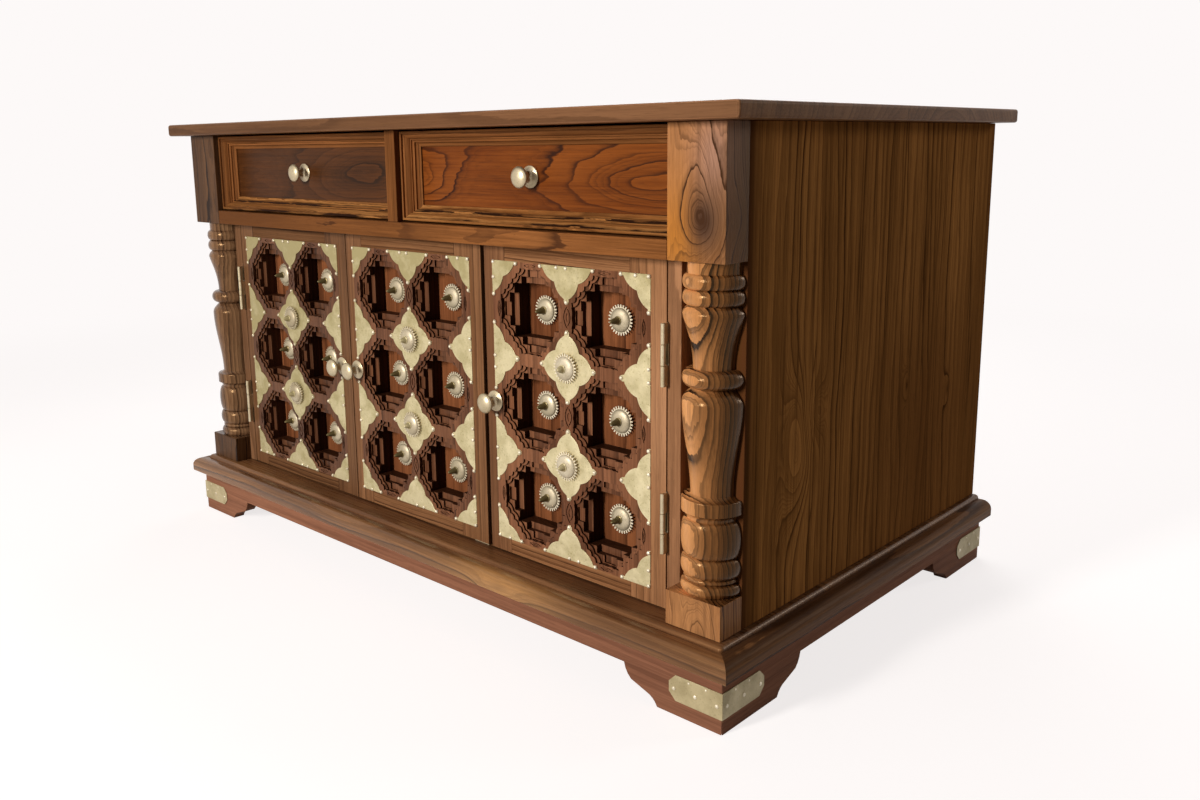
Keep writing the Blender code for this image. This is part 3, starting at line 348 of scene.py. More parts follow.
def wood(
    name, tone, grain, seed, pith, planks=None,
    spacing=0.010, band=0.25, fine=0.0027, sparse=0.25, sway=0.010, ripple=0.0016, jag=0.0006,
    figure=0.8, streak=0.35, knots=(), tints=(), painted_depth_shade=None,
    rough=0.38, shine=0.02, coat=0.0, carved=0.0,
):
    """Wood with growth rings about a pith line along the grain, swayed by noise and cut by the piece's faces.

    pith is the line's place in the two axes across the grain. planks is (axis across the grain, width, first
    edge). Each knot is (centre, radii, lift, darkness) and lifts the rings into loops round its centre; each
    tint is (centre, radii, colour, share); both in the axes (across, across, along). recess is (axis, start,
    end, share) of painted shade that darkens the faces that lie deeper.

    spacing and fine are the widths of rings and hairlines, band the dark share of a ring, sparse how many
    rings stay faint. sway, ripple and jag bend the rings slowly, quickly and raggedly. figure and streak are
    the strength of the rings and of loose dark strands; carved that of tool marks."""
    paint = Paint(bpy.data.materials.new(name))
    axes = paint.split(paint.add("ShaderNodeTexCoord", {}, "Object"))
    fixed = paint.joined(*[axes[i] for i in GRAIN_ORDER[grain]])
    place = fixed
    if planks:
        axis, width, first = planks
        across = paint.math("DIVIDE", paint.math("SUBTRACT", paint.split(fixed)[axis], first), width)
        plank = paint.math("ADD", paint.math("FLOOR", across), seed * 7.0)
        draw = paint.add("ShaderNodeTexWhiteNoise", {"W": plank}, "Color", noise_dimensions="1D")
        shift = paint.vector("MULTIPLY", paint.vector("SUBTRACT", draw, (0.5, 0.5, 0.5)), PLANK_SHIFT)
        place = paint.vector("ADD", fixed, shift)

    def noise(kind):
        wide, along, step, detail, roughness = WOOD_NOISE[kind]
        return paint.noise(place, (wide, wide, along), seed + step, detail, roughness)

    fibre, cloud = noise("fibre"), noise("cloud")
    off = paint.vector("SUBTRACT", place, (*pith, 0.0))
    radius = paint.vector("LENGTH", paint.vector("MULTIPLY", off, (1.0, 1.0, 0.0)), output=1)
    for kind, reach in (("slow", sway), ("quick", ripple), ("ragged", jag)):
        radius = paint.add_centred(noise(kind), 2 * reach, radius)
    core = 0.0
    for centre, radii, lift, darkness in knots:
        radius = paint.math("MULTIPLY_ADD", paint.bell(fixed, centre, radii), lift, radius)
        core = paint.math("MULTIPLY_ADD", paint.bell(fixed, centre, radii, KNOT_CORE), darkness, core)
    phase = paint.math("DIVIDE", radius, spacing)
    ring = paint.math("FRACT", phase)
    year = paint.math("FLOOR", phase)
    weight = paint.span(paint.chance(year, seed), sparse, 0.85, 0.10, 1.0)
    patchy = paint.span(cloud, 0.36, 0.60, 0.25 + 0.25 * figure, figure)
    line = paint.math("MULTIPLY", paint.ramp(ring, late_wood(band)), paint.math("MULTIPLY", weight, patchy))
    line = paint.math("MAXIMUM", line, paint.span(noise("strands"), 0.52, 0.70, 0.0, streak))
    line = paint.math("ADD", line, core, clamp=True)
    small = paint.math("DIVIDE", radius, fine)
    hair = paint.span(paint.math("FRACT", small), 0.35, 0.90)
    faint = paint.span(paint.chance(paint.math("FLOOR", small), seed + 9.0), 0.3, 1.0)
    body = paint.add_centred(cloud, 2.0, 0.5)
    body = paint.add_centred(fibre, 1.8, body)
    body = paint.add_centred(paint.chance(year, seed + 5.0), 0.5, body)
    if planks:
        body = paint.add_centred(paint.chance(plank, 3.0), 0.45, body)
    body = paint.add_centred(ring, -0.25, body, clamp=True)
    pore = paint.span(noise("pores"), 0.56, 0.70)
    colour = paint.mix(body, tone["deep"], tone["pale"])
    if "glow" in tone:
        glow = paint.span(noise("glow"), 0.48, 0.68, 0.0, 0.75)
        colour = paint.mix(glow, colour, tone["glow"])
    for centre, radii, tint, share in tints:
        colour = paint.mix(paint.math("MULTIPLY", paint.bell(fixed, centre, radii), share), colour, tint)
    hairs = paint.math("MULTIPLY", hair, faint)
    for dark, share in ((hairs, HAIR_SHARE * figure), (line, 1.0), (pore, PORE_SHARE)):
        colour = paint.mix(paint.math("MULTIPLY", dark, share), colour, tone["line"])
    if planks:
        seam = paint.math("ABSOLUTE", paint.math("SUBTRACT", paint.math("FRACT", across), 0.5))
        colour = paint.mix(paint.span(seam, 0.494, 0.4975, 0.0, 0.45), colour, tone["line"])
    # Painted shade: faces lying deeper along the axis are darker.
    if painted_depth_shade:
        axis, start, end, share = painted_depth_shade
        colour = paint.mix(paint.span(paint.split(fixed)[axis], start, end, 0.0, share), colour, tone["line"])
    dull = paint.math("MULTIPLY_ADD", fibre, 0.16, rough - 0.08)
    height = paint.math("MULTIPLY_ADD", pore, -0.6, fibre)
    height = paint.math("MULTIPLY_ADD", line, -0.3, height)
    if carved:
        height = paint.math("MULTIPLY_ADD", noise("chips"), carved, height)
    paint.bump(height, *WOOD_BUMP)
    return paint.finish(
        Base_Color=colour, Roughness=paint.math("MULTIPLY_ADD", pore, 0.10, dull), Specular_IOR_Level=shine,
        Specular_Tint=VARNISH, Coat_Weight=coat, Coat_Roughness=COAT_ROUGHNESS,
    )


def brass(name, colour, stain, rough, metal=0.85, dents=0.0, wear=0.5, painted_shade_patches=()):
    """Brass with dull stains, specks, fine scratches and, where asked, shallow hammer dents.

    Each entry of tarnish is (centre, radii, share) of a place whose colour is duller all over: painted shade
    where the light falls off."""
    paint = Paint(bpy.data.materials.new(name))
    place = paint.add("ShaderNodeTexCoord", {}, "Object")
    cloud = paint.noise(place, (38.0, 38.0, 38.0), 1.0, detail=4.0, roughness=0.6)
    speck = paint.noise(place, (420.0, 420.0, 420.0), 2.0, detail=2.0)
    scratch = paint.noise(place, (900.0, 900.0, 60.0), 3.0, detail=2.0)
    dull = paint.span(cloud, 0.62, 0.35)
    spots = paint.span(speck, 0.60, 0.74)
    share = paint.math("MULTIPLY_ADD", spots, 0.5, paint.math("MULTIPLY", dull, wear), clamp=True)
    # Painted shade: each patch darkens the colour towards the stain.
    for centre, radii, more in painted_shade_patches:
        share = paint.math("MULTIPLY_ADD", paint.bell(place, centre, radii), more, share, clamp=True)
    level = paint.math("MULTIPLY_ADD", dull, 0.14, rough)
    height = paint.math("MULTIPLY", scratch, 0.10)
    if dents:
        hammer = {"Vector": place, "Scale": HAMMER_SCALE, "Smoothness": 0.6}
        hammer = paint.add("ShaderNodeTexVoronoi", hammer, feature="SMOOTH_F1")
        height = paint.math("MULTIPLY_ADD", hammer, dents, height)
    paint.bump(height, *BRASS_BUMP)
    return paint.finish(
        Base_Color=paint.mix(share, colour, stain),
        Roughness=paint.math("MULTIPLY_ADD", scratch, 0.08, level),
        Metallic=paint.math("MULTIPLY_ADD", dull, -0.4 * metal, metal),
    )


# Tones of wood as linear colours


def tones(pale, deep, line, **more):
    return {"pale": pale, "deep": deep, "line": line, **more}


POST = tones(
    (0.45, 0.200, 0.085), (0.30, 0.118, 0.040), (0.050, 0.019, 0.009), glow=(0.50, 0.225, 0.085)
)
LEFT_POST = tones((0.120, 0.056, 0.024), (0.055, 0.023, 0.009), (0.016, 0.007, 0.004))
SHAFT = tones((0.64, 0.262, 0.078), (0.190, 0.062, 0.014), (0.012, 0.0045, 0.002))
LEFT_SHAFT = tones((0.24, 0.125, 0.060), (0.105, 0.045, 0.020), (0.022, 0.009, 0.005))
STILE = tones((0.47, 0.230, 0.110), (0.31, 0.145, 0.068), (0.09, 0.040, 0.019))
RIGHT_DRAWER = tones((0.240, 0.064, 0.011), (0.130, 0.029, 0.0045), (0.026, 0.007, 0.004))
LEFT_DRAWER = tones((0.090, 0.029, 0.0075), (0.042, 0.0135, 0.0035), (0.010, 0.004, 0.002))
FRAME = tones((0.30, 0.112, 0.034), (0.140, 0.050, 0.014), (0.030, 0.011, 0.006))
ZEBRA = tones((0.46, 0.205, 0.062), (0.24, 0.085, 0.022), (0.022, 0.008, 0.004))
SIDE = tones((0.54, 0.228, 0.062), (0.285, 0.116, 0.030), (0.095, 0.036, 0.010))
TOP = tones((0.30, 0.142, 0.060), (0.155, 0.066, 0.026), (0.050, 0.021, 0.009))
DOOR = tones((0.40, 0.186, 0.082), (0.225, 0.094, 0.037), (0.050, 0.018, 0.008))
CARVED = tones((0.330, 0.134, 0.064), (0.140, 0.050, 0.024), (0.016, 0.006, 0.003))
# The niche walls are the carved wood made near black: painted shade inside the carving.
SHADED_WALL = tones((0.060, 0.020, 0.009), (0.026, 0.009, 0.004), (0.007, 0.003, 0.002))
NICHE = tones((0.270, 0.094, 0.036), (0.140, 0.045, 0.017), (0.030, 0.010, 0.005))
BASE = tones((0.310, 0.142, 0.055), (0.130, 0.053, 0.021), (0.026, 0.011, 0.006))
PLINTH = tones((0.36, 0.158, 0.090), (0.225, 0.094, 0.054), (0.075, 0.030, 0.018))
INNER = tones((0.36, 0.205, 0.105), (0.24, 0.125, 0.060), (0.09, 0.043, 0.021))


def shaded(tone, share):
    """The same wood, darker or paler."""
    return {key: tuple(share * c for c in colour) for key, colour in tone.items()}


# Mesh building


def arc(start, end, rise, steps):
    """Points after start up to end on a shallow arc that bulges to the left of the way by rise."""
    chord = Vector((end[0] - start[0], end[1] - start[1]))
    left = Vector((-chord.y, chord.x)).normalized()
    points = []
    for k in range(1, steps + 1):
        t = k / steps
        lift = rise * 4 * t * (1 - t)
        points.append((start[0] + chord.x * t + left.x * lift, start[1] + chord.y * t + left.y * lift))
    return points


def quarter_angles(steps):
    return [math.pi / 2 * k / steps for k in range(steps + 1)]


def quarter_turned(point, turns):
    """The point (a, b), turned about the middle by that many quarter turns."""
    a, b = point
    for _ in range(turns % 4):
        a, b = -b, a
    return (a, b)


def add_box(bm, low, high):
    corners = [(x, y, z) for x in (low[0], high[0]) for y in (low[1], high[1]) for z in (low[2], high[2])]
    verts = [bm.verts.new(corner) for corner in corners]
    for face in ((0, 1, 3, 2), (4, 6, 7, 5), (0, 4, 5, 1), (2, 3, 7, 6), (0, 2, 6, 4), (1, 5, 7, 3)):
        bm.faces.new([verts[i] for i in face])


def bridge(bm, first, second):
    """The faces between two closed loops with equal counts of vertices."""
    faces = []
    for i in range(len(first)):
        j = (i + 1) % len(first)
        faces.append(bm.faces.new((first[j], first[i], second[i], second[j])))
    return faces


def add_skin(bm, first, second):
    """A closed body between two loops."""
    bm.faces.new(first)
    bm.faces.new(list(reversed(second)))
    bridge(bm, first, second)


def add_prism(bm, outline, low, high, to_world):
    """A flat outline of (a, b) points, swept from low to high, each point placed by to_world(a, b, c)."""
    add_skin(bm, *[[bm.verts.new(to_world(a, b, level)) for a, b in outline] for level in (low, high)])


def add_ring_prism(bm, outer, inner, low, high, to_world):
    """The space between two outlines with equal counts of points, swept from low to high."""
    loops = []
    for outline, level in ((outer, low), (outer, high), (inner, high), (inner, low)):
        loops.append([bm.verts.new(to_world(a, b, level)) for a, b in outline])
    for first, second in zip(loops, [*loops[1:], loops[0]]):
        bridge(bm, second, first)


def add_turning(bm, profile, sides, to_world):
    """A turned solid from (height, radius) points, each point of it placed by to_world(u, v, height)."""
    angles = [2 * math.pi * (k + 0.5) / sides for k in range(sides)]
    rings = []
    for height, radius in profile:
        circle = [(radius * math.cos(a), radius * math.sin(a)) for a in angles]
        if radius < GAP:
            circle = [(0.0, 0.0)]
        rings.append([bm.verts.new(to_world(u, v, height)) for u, v in circle])
    for end in (rings[0], rings[-1]):
        if len(end) > 1:
            bm.faces.new(end)
    for lower, upper in zip(rings, rings[1:]):
        if len(upper) > 1:
            bridge(bm, lower, upper)
            continue
        for k in range(sides):
            bm.faces.new((lower[(k + 1) % sides], lower[k], upper[0]))


def on_front(x, y, z):
    """Puts a turning's height towards -Y, with its base on the plane y."""
    return lambda u, v, height: (x + u, y - height, z + v)


def add_nail(bm, x, y, z, radius, height, facing=on_front):
    profile = [(height * math.sin(a), radius * math.cos(a)) for a in quarter_angles(NAIL_STEPS)]
    add_turning(bm, [(-height / 3, radius), *profile], NAIL_SIDES, facing(x, y, z))


def mesh_from(bm, name):
    bmesh.ops.recalc_face_normals(bm, faces=bm.faces)
    mesh = bpy.data.meshes.new(name)
    bm.to_mesh(mesh)
    bm.free()
    return mesh


def combined(mesh, tool, operation):
    """The mesh joined with, or cut by, a tool mesh."""
    scene_objects = bpy.context.scene.collection.objects
    target = bpy.data.objects.new("target", mesh)
    other = bpy.data.objects.new("tool", tool)
    scene_objects.link(target)
    scene_objects.link(other)
    modifier = target.modifiers.new("combine", "BOOLEAN")
    modifier.operation = operation
    modifier.solver = "EXACT"
    modifier.object = other
    graph = bpy.context.evaluated_depsgraph_get()
    result = bpy.data.meshes.new_from_object(target.evaluated_get(graph))
    bpy.data.objects.remove(target)
    bpy.data.objects.remove(other)
    return result


def soften(obj, width, segments=2, angle=35.0):
    """Rounds the sharp edges a little, after joining what the file format had split."""
    weld = obj.modifiers.new("weld", "WELD")
    weld.merge_threshold = WELD_DISTANCE
    bevel = obj.modifiers.new("soft edges", "BEVEL")
    bevel.width = width
    bevel.segments = segments
    bevel.limit_method = "ANGLE"
    bevel.angle_limit = math.radians(angle)


def piece(name, mesh, body, materials, replaces=(), smooth=None, edge=0.0):
    """Puts a new piece in the scene, riding on a body and standing for the CAD nodes that it replaces."""
    for material in materials:
        mesh.materials.append(material)
    if smooth:
        mesh.shade_smooth()
        mesh.set_sharp_from_angle(angle=math.radians(smooth))
    obj = bpy.data.objects.new(name, mesh)
    bpy.context.scene.collection.objects.link(obj)
    if smooth:
        obj.modifiers.new("flat faces", "WEIGHTED_NORMAL").keep_sharp = True
    if edge:
        soften(obj, edge)
    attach(obj, body)
    if replaces:
        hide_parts(*replaces)
    return obj


def dress(node, material, edge=BOARD_EDGE):
    """Gives a CAD node its finish and soft edges."""
    obj = frame["nodes"][node]
    for slot in obj.material_slots:
        slot.material = material
    soften(obj, edge)


# Boards


def rounded_board(node, radius, rim_levels, material):
    """A board of the node's size, whose front and end rims are rounded at the levels asked for."""
    low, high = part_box(node)
    levels = [{"top": high.z, "bottom": low.z}[level] for level in rim_levels]
    bm = bmesh.new()
    add_box(bm, low, high)
    rims = []
    for e in bm.edges:
        middle = (e.verts[0].co + e.verts[1].co) / 2
        on_level = any(abs(middle.z - level) < GAP for level in levels)
        on_corner = abs(middle.z - (low.z + high.z) / 2) < GAP and middle.y < low.y + GAP
        if middle.y < high.y - GAP and (on_level or on_corner):
            rims.append(e)
    bmesh.ops.bevel(bm, geom=rims, offset=radius, segments=6, profile=0.5, affect="EDGES")
    piece(f"{node}_rounded", mesh_from(bm, node), "carcass", [material], (node,), smooth=30)


def base_mouldings(front_wood, side_wood):
    """The moulding under the base board: upright lip and quarter round, mitred at the front corners."""
    width, height = LIP_ROUND
    for side, material in (("front", front_wood), ("left", side_wood), ("right", side_wood)):
        node = f"{side}_base_moulding"
        low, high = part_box(node)
        reach = high.y - low.y if side == "front" else high.x - low.x
        profile = [(0.0, low.z), (reach - LIP_CHAMFER, low.z), (reach, low.z + LIP_CHAMFER)]
        for angle in quarter_angles(ROUND_STEPS):
            profile.append((reach - width * (1 - math.cos(angle)), high.z - height * (1 - math.sin(angle))))
        bm = bmesh.new()
        loops = ([], [])
        for out, z in [*profile, (0.0, high.z)]:
            back = reach - out
            x = high.x - back if side == "right" else low.x + back
            far = (high.x - back, low.y + back, z) if side == "front" else (x, high.y, z)
            for loop, end in zip(loops, ((x, low.y + back, z), far)):
                loop.append(bm.verts.new(end))
        add_skin(bm, *loops)
        piece(f"{node}_shaped", mesh_from(bm, node), "carcass", [material], (node,), smooth=40)


def foot_strap(front_or_back, side, material, nail_brass):
    """An angled strap with clipped ends, three nails on each wing and small pins along its upper edge."""
    node = f"{front_or_back}_{side}_foot_strap"
    low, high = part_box(node)
    into_x = 1 if side == "left" else -1
    into_y = 1 if front_or_back == "front" else -1
    corner = Vector((low.x if into_x > 0 else high.x, low.y if into_y > 0 else high.y))
    reach_x, reach_y = high.x - low.x, high.y - low.y

    def wing(length):
        near, bottom, top = length - STRAP_CHAMFER, low.z + STRAP_CHAMFER, high.z - STRAP_CHAMFER
        return [(near, low.z), (length, bottom), (length, top), (near, high.z)]

    bm = bmesh.new()
    rims = []
    for inset in (0.0, STRAP_THICKNESS):
        place = Vector((corner.x + into_x * inset, corner.y + into_y * inset))
        fold = [bm.verts.new((*place, z)) for z in (low.z, high.z)]
        along_x = [bm.verts.new((corner.x + into_x * s, place.y, z)) for s, z in wing(reach_x)]
        along_y = [bm.verts.new((place.x, corner.y + into_y * s, z)) for s, z in wing(reach_y)]
        bm.faces.new([fold[0], *along_x, fold[1]])
        bm.faces.new([fold[1], *reversed(along_y), fold[0]])
        rims.append([fold[0], *along_x, fold[1], *reversed(along_y)])
    outer, inner = rims
    bridge(bm, inner, outer)
    piece(f"{node}_plate", mesh_from(bm, node), "carcass", [material], (node,), edge=BRASS_EDGE)
    nails = bmesh.new()
    nail_z, pin_z = (low.z + high.z) / 2 - STRAP_NAIL_DROP, high.z - STRAP_PIN_DROP
    places = [(share, nail_z, STRAP_NAIL_RADIUS) for share in STRAP_NAIL_SHARES]
    places += [(share, pin_z, STRAP_PIN_RADIUS) for share in STRAP_PIN_SHARES]
    on_x = lambda x, y, level: lambda u, v, h: (x + u, y - into_y * h, level + v)
    on_y = lambda x, y, level: lambda u, v, h: (x - into_x * h, y + u, level + v)
    for share, z, radius in places:
        dome = radius * STRAP_NAIL_DOME
        add_nail(nails, corner.x + into_x * share * reach_x, corner.y, z, radius, dome, on_x)
        add_nail(nails, corner.x, corner.y + into_y * share * reach_y, z, radius, dome, on_y)
    piece(f"{node}_nails", mesh_from(nails, "nails"), "carcass", [nail_brass], smooth=50)


# Turned corner posts


def ring_points(top, height, groove):
    """(z, radius) points down a half-round ring between two grooves."""
    points = []
    for k in range(RING_STEPS + 1):
        angle = math.pi * k / RING_STEPS
        swell = (COLUMN_RADIUS - groove) * math.sin(angle) ** 0.8
        points.append((top - height * (1 - math.cos(angle)) / 2, groove + swell))
    return points


def vase_points(top, height, groove, neck, ease):
    """(z, radius) points down a vase: quick shoulder, then a taper that is shorter with a lower ease."""
    shoulder = 0.14
    points = [(top, groove)]
    for k in range(1, VASE_STEPS + 1):
        t = (k / VASE_STEPS) ** 1.3
        if t <= shoulder:
            swell = groove + (COLUMN_RADIUS - groove) * math.sin(math.pi / 2 * t / shoulder)
        else:
            fall = ((t - shoulder) / (1 - shoulder)) ** ease
            swell = neck + (COLUMN_RADIUS - neck) * (1 + math.cos(math.pi * fall)) / 2
        points.append((top - height * t, swell))
    return points


def column_profile(top, bottom):
    """(z, radius) points down the turned shaft. The lower vase takes the height that the others leave."""
    fixed = COLLAR_HEIGHT + 2 * UPPER_RING_HEIGHT + UPPER_VASE_HEIGHT + MIDDLE_RING_HEIGHT + BAND_HEIGHT
    fixed += BALL_HEIGHT + LOWER_RING_HEIGHT + COVE_HEIGHT + FOOT_RING_HEIGHT
    lower_vase = top - bottom - fixed
    z = top - COLLAR_HEIGHT
    points = [(top, COLLAR_RADIUS), (z, COLLAR_RADIUS)]
    for _ in range(2):
        points += ring_points(z, UPPER_RING_HEIGHT, GROOVE_RADIUS)
        z -= UPPER_RING_HEIGHT
    points += vase_points(z, UPPER_VASE_HEIGHT, GROOVE_RADIUS, NECK_RADIUS, UPPER_VASE_EASE)
    z -= UPPER_VASE_HEIGHT
    points += ring_points(z, MIDDLE_RING_HEIGHT, NECK_RADIUS)
    z -= MIDDLE_RING_HEIGHT
    points += vase_points(z, lower_vase, NECK_RADIUS, LOWER_NECK_RADIUS, LOWER_VASE_EASE)
    z -= lower_vase
    flare = BAND_HEIGHT / 6
    points += arc((z, LOWER_NECK_RADIUS), (z - flare, COLUMN_RADIUS - 0.001), 0.0012, 4)
    points += [(z - 1.3 * flare, COLUMN_RADIUS), (z - BAND_HEIGHT + 1.8 * flare, COLUMN_RADIUS)]
    points += arc(points[-1], (z - BAND_HEIGHT, GROOVE_RADIUS), 0.002, 5)
    z -= BAND_HEIGHT
    for height in (BALL_HEIGHT, LOWER_RING_HEIGHT):
        points += ring_points(z, height, GROOVE_RADIUS)
        z -= height
    points += arc((z, GROOVE_RADIUS), (z - COVE_HEIGHT, GROOVE_RADIUS), -0.003, 5)
    z -= COVE_HEIGHT
    points += ring_points(z, FOOT_RING_HEIGHT, GROOVE_RADIUS)
    return [p for i, p in enumerate(points) if i == 0 or abs(points[i - 1][0] - p[0]) > GAP / 10]


def block_mesh(low, high):
    bm = bmesh.new()
    add_box(bm, low, high)
    bmesh.ops.bevel(bm, geom=list(bm.edges), offset=BOARD_EDGE, segments=2, profile=0.5, affect="EDGES")
    return mesh_from(bm, "block")


def corner_post(side, sign, block_wood, shaft_wood):
    """Square block, turned shaft, square block, rebated behind for the side panel."""
    node = f"{side}_corner_post"
    low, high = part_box(node)
    shaft_bottom = low.z + BOTTOM_BLOCK_HEIGHT
    axis = ((low.x + high.x) / 2, low.y + POST_WIDTH / 2)
    back = low.y + POST_WIDTH
    mesh = block_mesh((low.x, low.y, SHAFT_TOP), (high.x, back, high.z))
    mesh = combined(mesh, block_mesh(low, (high.x, back, shaft_bottom)), "UNION")
    profile = [(SHAFT_TOP + TENON_LENGTH, COLLAR_RADIUS), *column_profile(SHAFT_TOP, shaft_bottom)]
    profile.append((shaft_bottom - TENON_LENGTH, GROOVE_RADIUS))
    bm = bmesh.new()
    add_turning(bm, profile, COLUMN_SIDES, lambda u, v, z: (axis[0] + u, axis[1] + v, z))
    mesh = combined(mesh, mesh_from(bm, "shaft"), "UNION")
    rebate_x = sorted((sign * (PANEL_LOW.x - GAP), sign * (PANEL_HIGH.x + GAP)))
    bm = bmesh.new()
    add_box(bm, (rebate_x[0], PANEL_LOW.y - GAP, low.z - GAP), (rebate_x[1], back + GAP, high.z + GAP))
    mesh = combined(mesh, mesh_from(bm, "rebate"), "DIFFERENCE")
    for face in mesh.polygons:
        face.material_index = int(shaft_bottom < face.center.z < SHAFT_TOP)
    piece(f"{side}_turned_post", mesh, "carcass", [block_wood, shaft_wood], (node,), smooth=38)


# Knobs, studs and nails


def knob(node, body, material):
    """A turned knob: stepped plate, slim stem, flattened head with a soft rim."""
    low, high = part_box(node)
    x, z = (low.x + high.x) / 2, (low.z + high.z) / 2
    length = high.y - low.y
    stem, head = KNOB_STEM_RADIUS, KNOB_HEAD_RADIUS
    profile = [(height, KNOB_PLATE_RADIUS - drop) for height, drop in KNOB_PLATE_STEPS]
    profile += [(0.0052, stem + 0.0014), (0.0075, stem)]
    profile += [(length - 0.0125, stem), (length - 0.0110, stem + 0.0010)]
    inner, swell = stem + KNOB_COLLAR, head - stem - KNOB_COLLAR
    for angle in quarter_angles(KNOB_STEPS):
        rise = KNOB_HEAD_RIM * (1 - math.cos(angle))
        profile.append((length - KNOB_HEAD_BACK + rise, inner + swell * math.sin(angle)))
    for angle in quarter_angles(KNOB_STEPS)[1:]:
        rise = KNOB_HEAD_FRONT * math.sin(angle)
        profile.append((length - KNOB_HEAD_FRONT + rise, max(0.0, head * math.cos(angle))))
    bm = bmesh.new()
    add_turning(bm, profile, KNOB_SIDES, on_front(x, high.y, z))
    piece(f"{node}_turned", mesh_from(bm, node), body, [material], (node,), smooth=45)


def gear_outline():
    """(a, b) points round the toothed rim of a stud."""
    shape = ((0.0, 0.0), (0.26, 0.0), (0.36, 0.88), (0.46, 1.0), (0.64, 1.0), (0.74, 0.88), (0.84, 0.0))
    points = []
    for tooth in range(STUD_TEETH):
        for share, rise in shape:
            angle = 2 * math.pi * (tooth + share) / STUD_TEETH
            radius = STUD_VALLEY_RADIUS + (STUD_RADIUS - STUD_VALLEY_RADIUS) * rise
            points.append((radius * math.cos(angle), radius * math.sin(angle)))
    return points


def add_stud(bright, dark, x, y, z, lift, spike):
    """A stud on the plane y: pedestal and dome, a toothed rim in a second brass, collar and spike."""
    at = on_front(x, y, z)
    disc = lift + TOOTH_THICKNESS
    top = disc + DOME_HEIGHT
    before = set(bright.faces)
    add_prism(bright, gear_outline(), lift, disc, at)
    for face in set(bright.faces) - before:
        face.material_index = 1
    neck = SPIKE_RADIUS * 0.9
    profile = [(-0.0008, STUD_PEDESTAL_RADIUS), (disc - GAP, STUD_PEDESTAL_RADIUS), (disc - GAP, DOME_RADIUS)]
    for angle in quarter_angles(DOME_STEPS):
        profile.append((disc + DOME_HEIGHT * math.sin(angle), neck + (DOME_RADIUS - neck) * math.cos(angle)))
    add_turning(bright, profile, STUD_SIDES, at)
    collar = SPIKE_RADIUS * 1.2
    cone = [(top - 0.0012, collar), (top + 0.0008, collar), (top + 0.0014, SPIKE_RADIUS)]
    cone += [(top + spike * 0.55, SPIKE_RADIUS * 0.80), (top + spike * 0.92, SPIKE_RADIUS * 0.34)]
    add_turning(dark, [*cone, (top + spike, 0.0)], STUD_SIDES // 2, at)


# Drawers


def frame_points(width, depth):
    """(inset, depth behind the rim) points round the moulding of a drawer front: bead, hollow, step, ogee."""
    points = [(0.0, 0.0008), (0.0008, 0.0), (width * 0.15, 0.0), (width * 0.17, depth * 0.02)]
    points += [(width * 0.17, depth * 0.15), (width * 0.22, depth * 0.15)]
    points += arc(points[-1], (width * 0.50, depth * 0.48), -0.0012, 6)
    points += [(width * 0.56, depth * 0.48), (width * 0.56, depth * 0.56)]
    points += arc(points[-1], (width * 0.72, depth * 0.62), 0.0008, 4)
    points += [(width * 0.72, depth * 0.72)]
    points += arc(points[-1], (width * 0.97, depth * 0.90), 0.0009, 5)
    return [*points, (width, depth * 0.92), (width, depth), (0.0, depth)]


def drawer_moulding(node, body, materials):
    """The mitred ring round a drawer front; its strips have grain along their own length."""
    low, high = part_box(node)
    bm = bmesh.new()
    loops = []
    for inset, depth in frame_points(FRAME_WIDTH, high.y - low.y):
        y = low.y + depth
        corners = (
            (low.x + inset, y, low.z + inset),
            (high.x - inset, y, low.z + inset),
            (high.x - inset, y, high.z - inset),
            (low.x + inset, y, high.z - inset),
        )
        loops.append([bm.verts.new(corner) for corner in corners])
    for first, second in zip(loops, [*loops[1:], loops[0]]):
        for k, face in enumerate(bridge(bm, second, first)):
            face.material_index = k
    piece(f"{node}_strips", mesh_from(bm, node), body, materials, (node,), smooth=25)


# Carved doors


def niche_centres(centre):
    x, z = centre
    rows = [NICHE_PITCH * (row - (NICHE_ROWS - 1) / 2) for row in range(NICHE_ROWS)]
    return [(x + column * NICHE_PITCH / 2, z + row) for row in rows for column in (-1, 1)]


def junctions(centre):
    """The places between four niches, where the full plates sit."""
    x, z = centre
    return [(x, z + NICHE_PITCH * (row - NICHE_ROWS / 2)) for row in range(1, NICHE_ROWS)]


def plus_outline(reach, arm):
    """The twelve corners of a plus sign with arms of that reach and half width."""
    quarter = [(reach, arm), (arm, arm), (arm, reach)]
    return [quarter_turned(point, turn) for turn in range(4) for point in quarter]


def square_outline(half):
    return [(half, half), (-half, half), (-half, -half), (half, -half)]


def ground_outline(from_plate, scallops, rise):
    """The edge of a sunk band round a niche: scalloped beside each plate, one shallow lobe at each web."""
    line = NICHE_PITCH - PLATE_HALF - from_plate * math.sqrt(2)
    corner = (GROUND_REACH, line - GROUND_REACH)
    end = (corner[1], corner[0])
    quarter = []
    for k in range(scallops):
        start = [corner[i] + (end[i] - corner[i]) * k / scallops for i in (0, 1)]
        stop = [corner[i] + (end[i] - corner[i]) * (k + 1) / scallops for i in (0, 1)]
        quarter += arc(start, stop, rise, 6)
    far = (-end[0], end[1])
    quarter += arc(end, (0.0, end[1] - 0.0006), 0.0012, 5)
    quarter += arc(quarter[-1], far, 0.0012, 5)
    return [quarter_turned(point, turn) for turn in range(4) for point in quarter]


def lens_outline(length, width, upright):
    half = length / 2
    points = arc((-half, 0.0), (half, 0.0), width / 2, 10) + arc((half, 0.0), (-half, 0.0), width / 2, 10)
    return [(b, a) for a, b in points] if upright else points


def eye_places(centre):
    """(x, z, upright) of each carved eye on the webs between niches side by side."""
    x, z = centre
    return [(x, z + row * NICHE_PITCH, True) for row in (-1, 0, 1)]


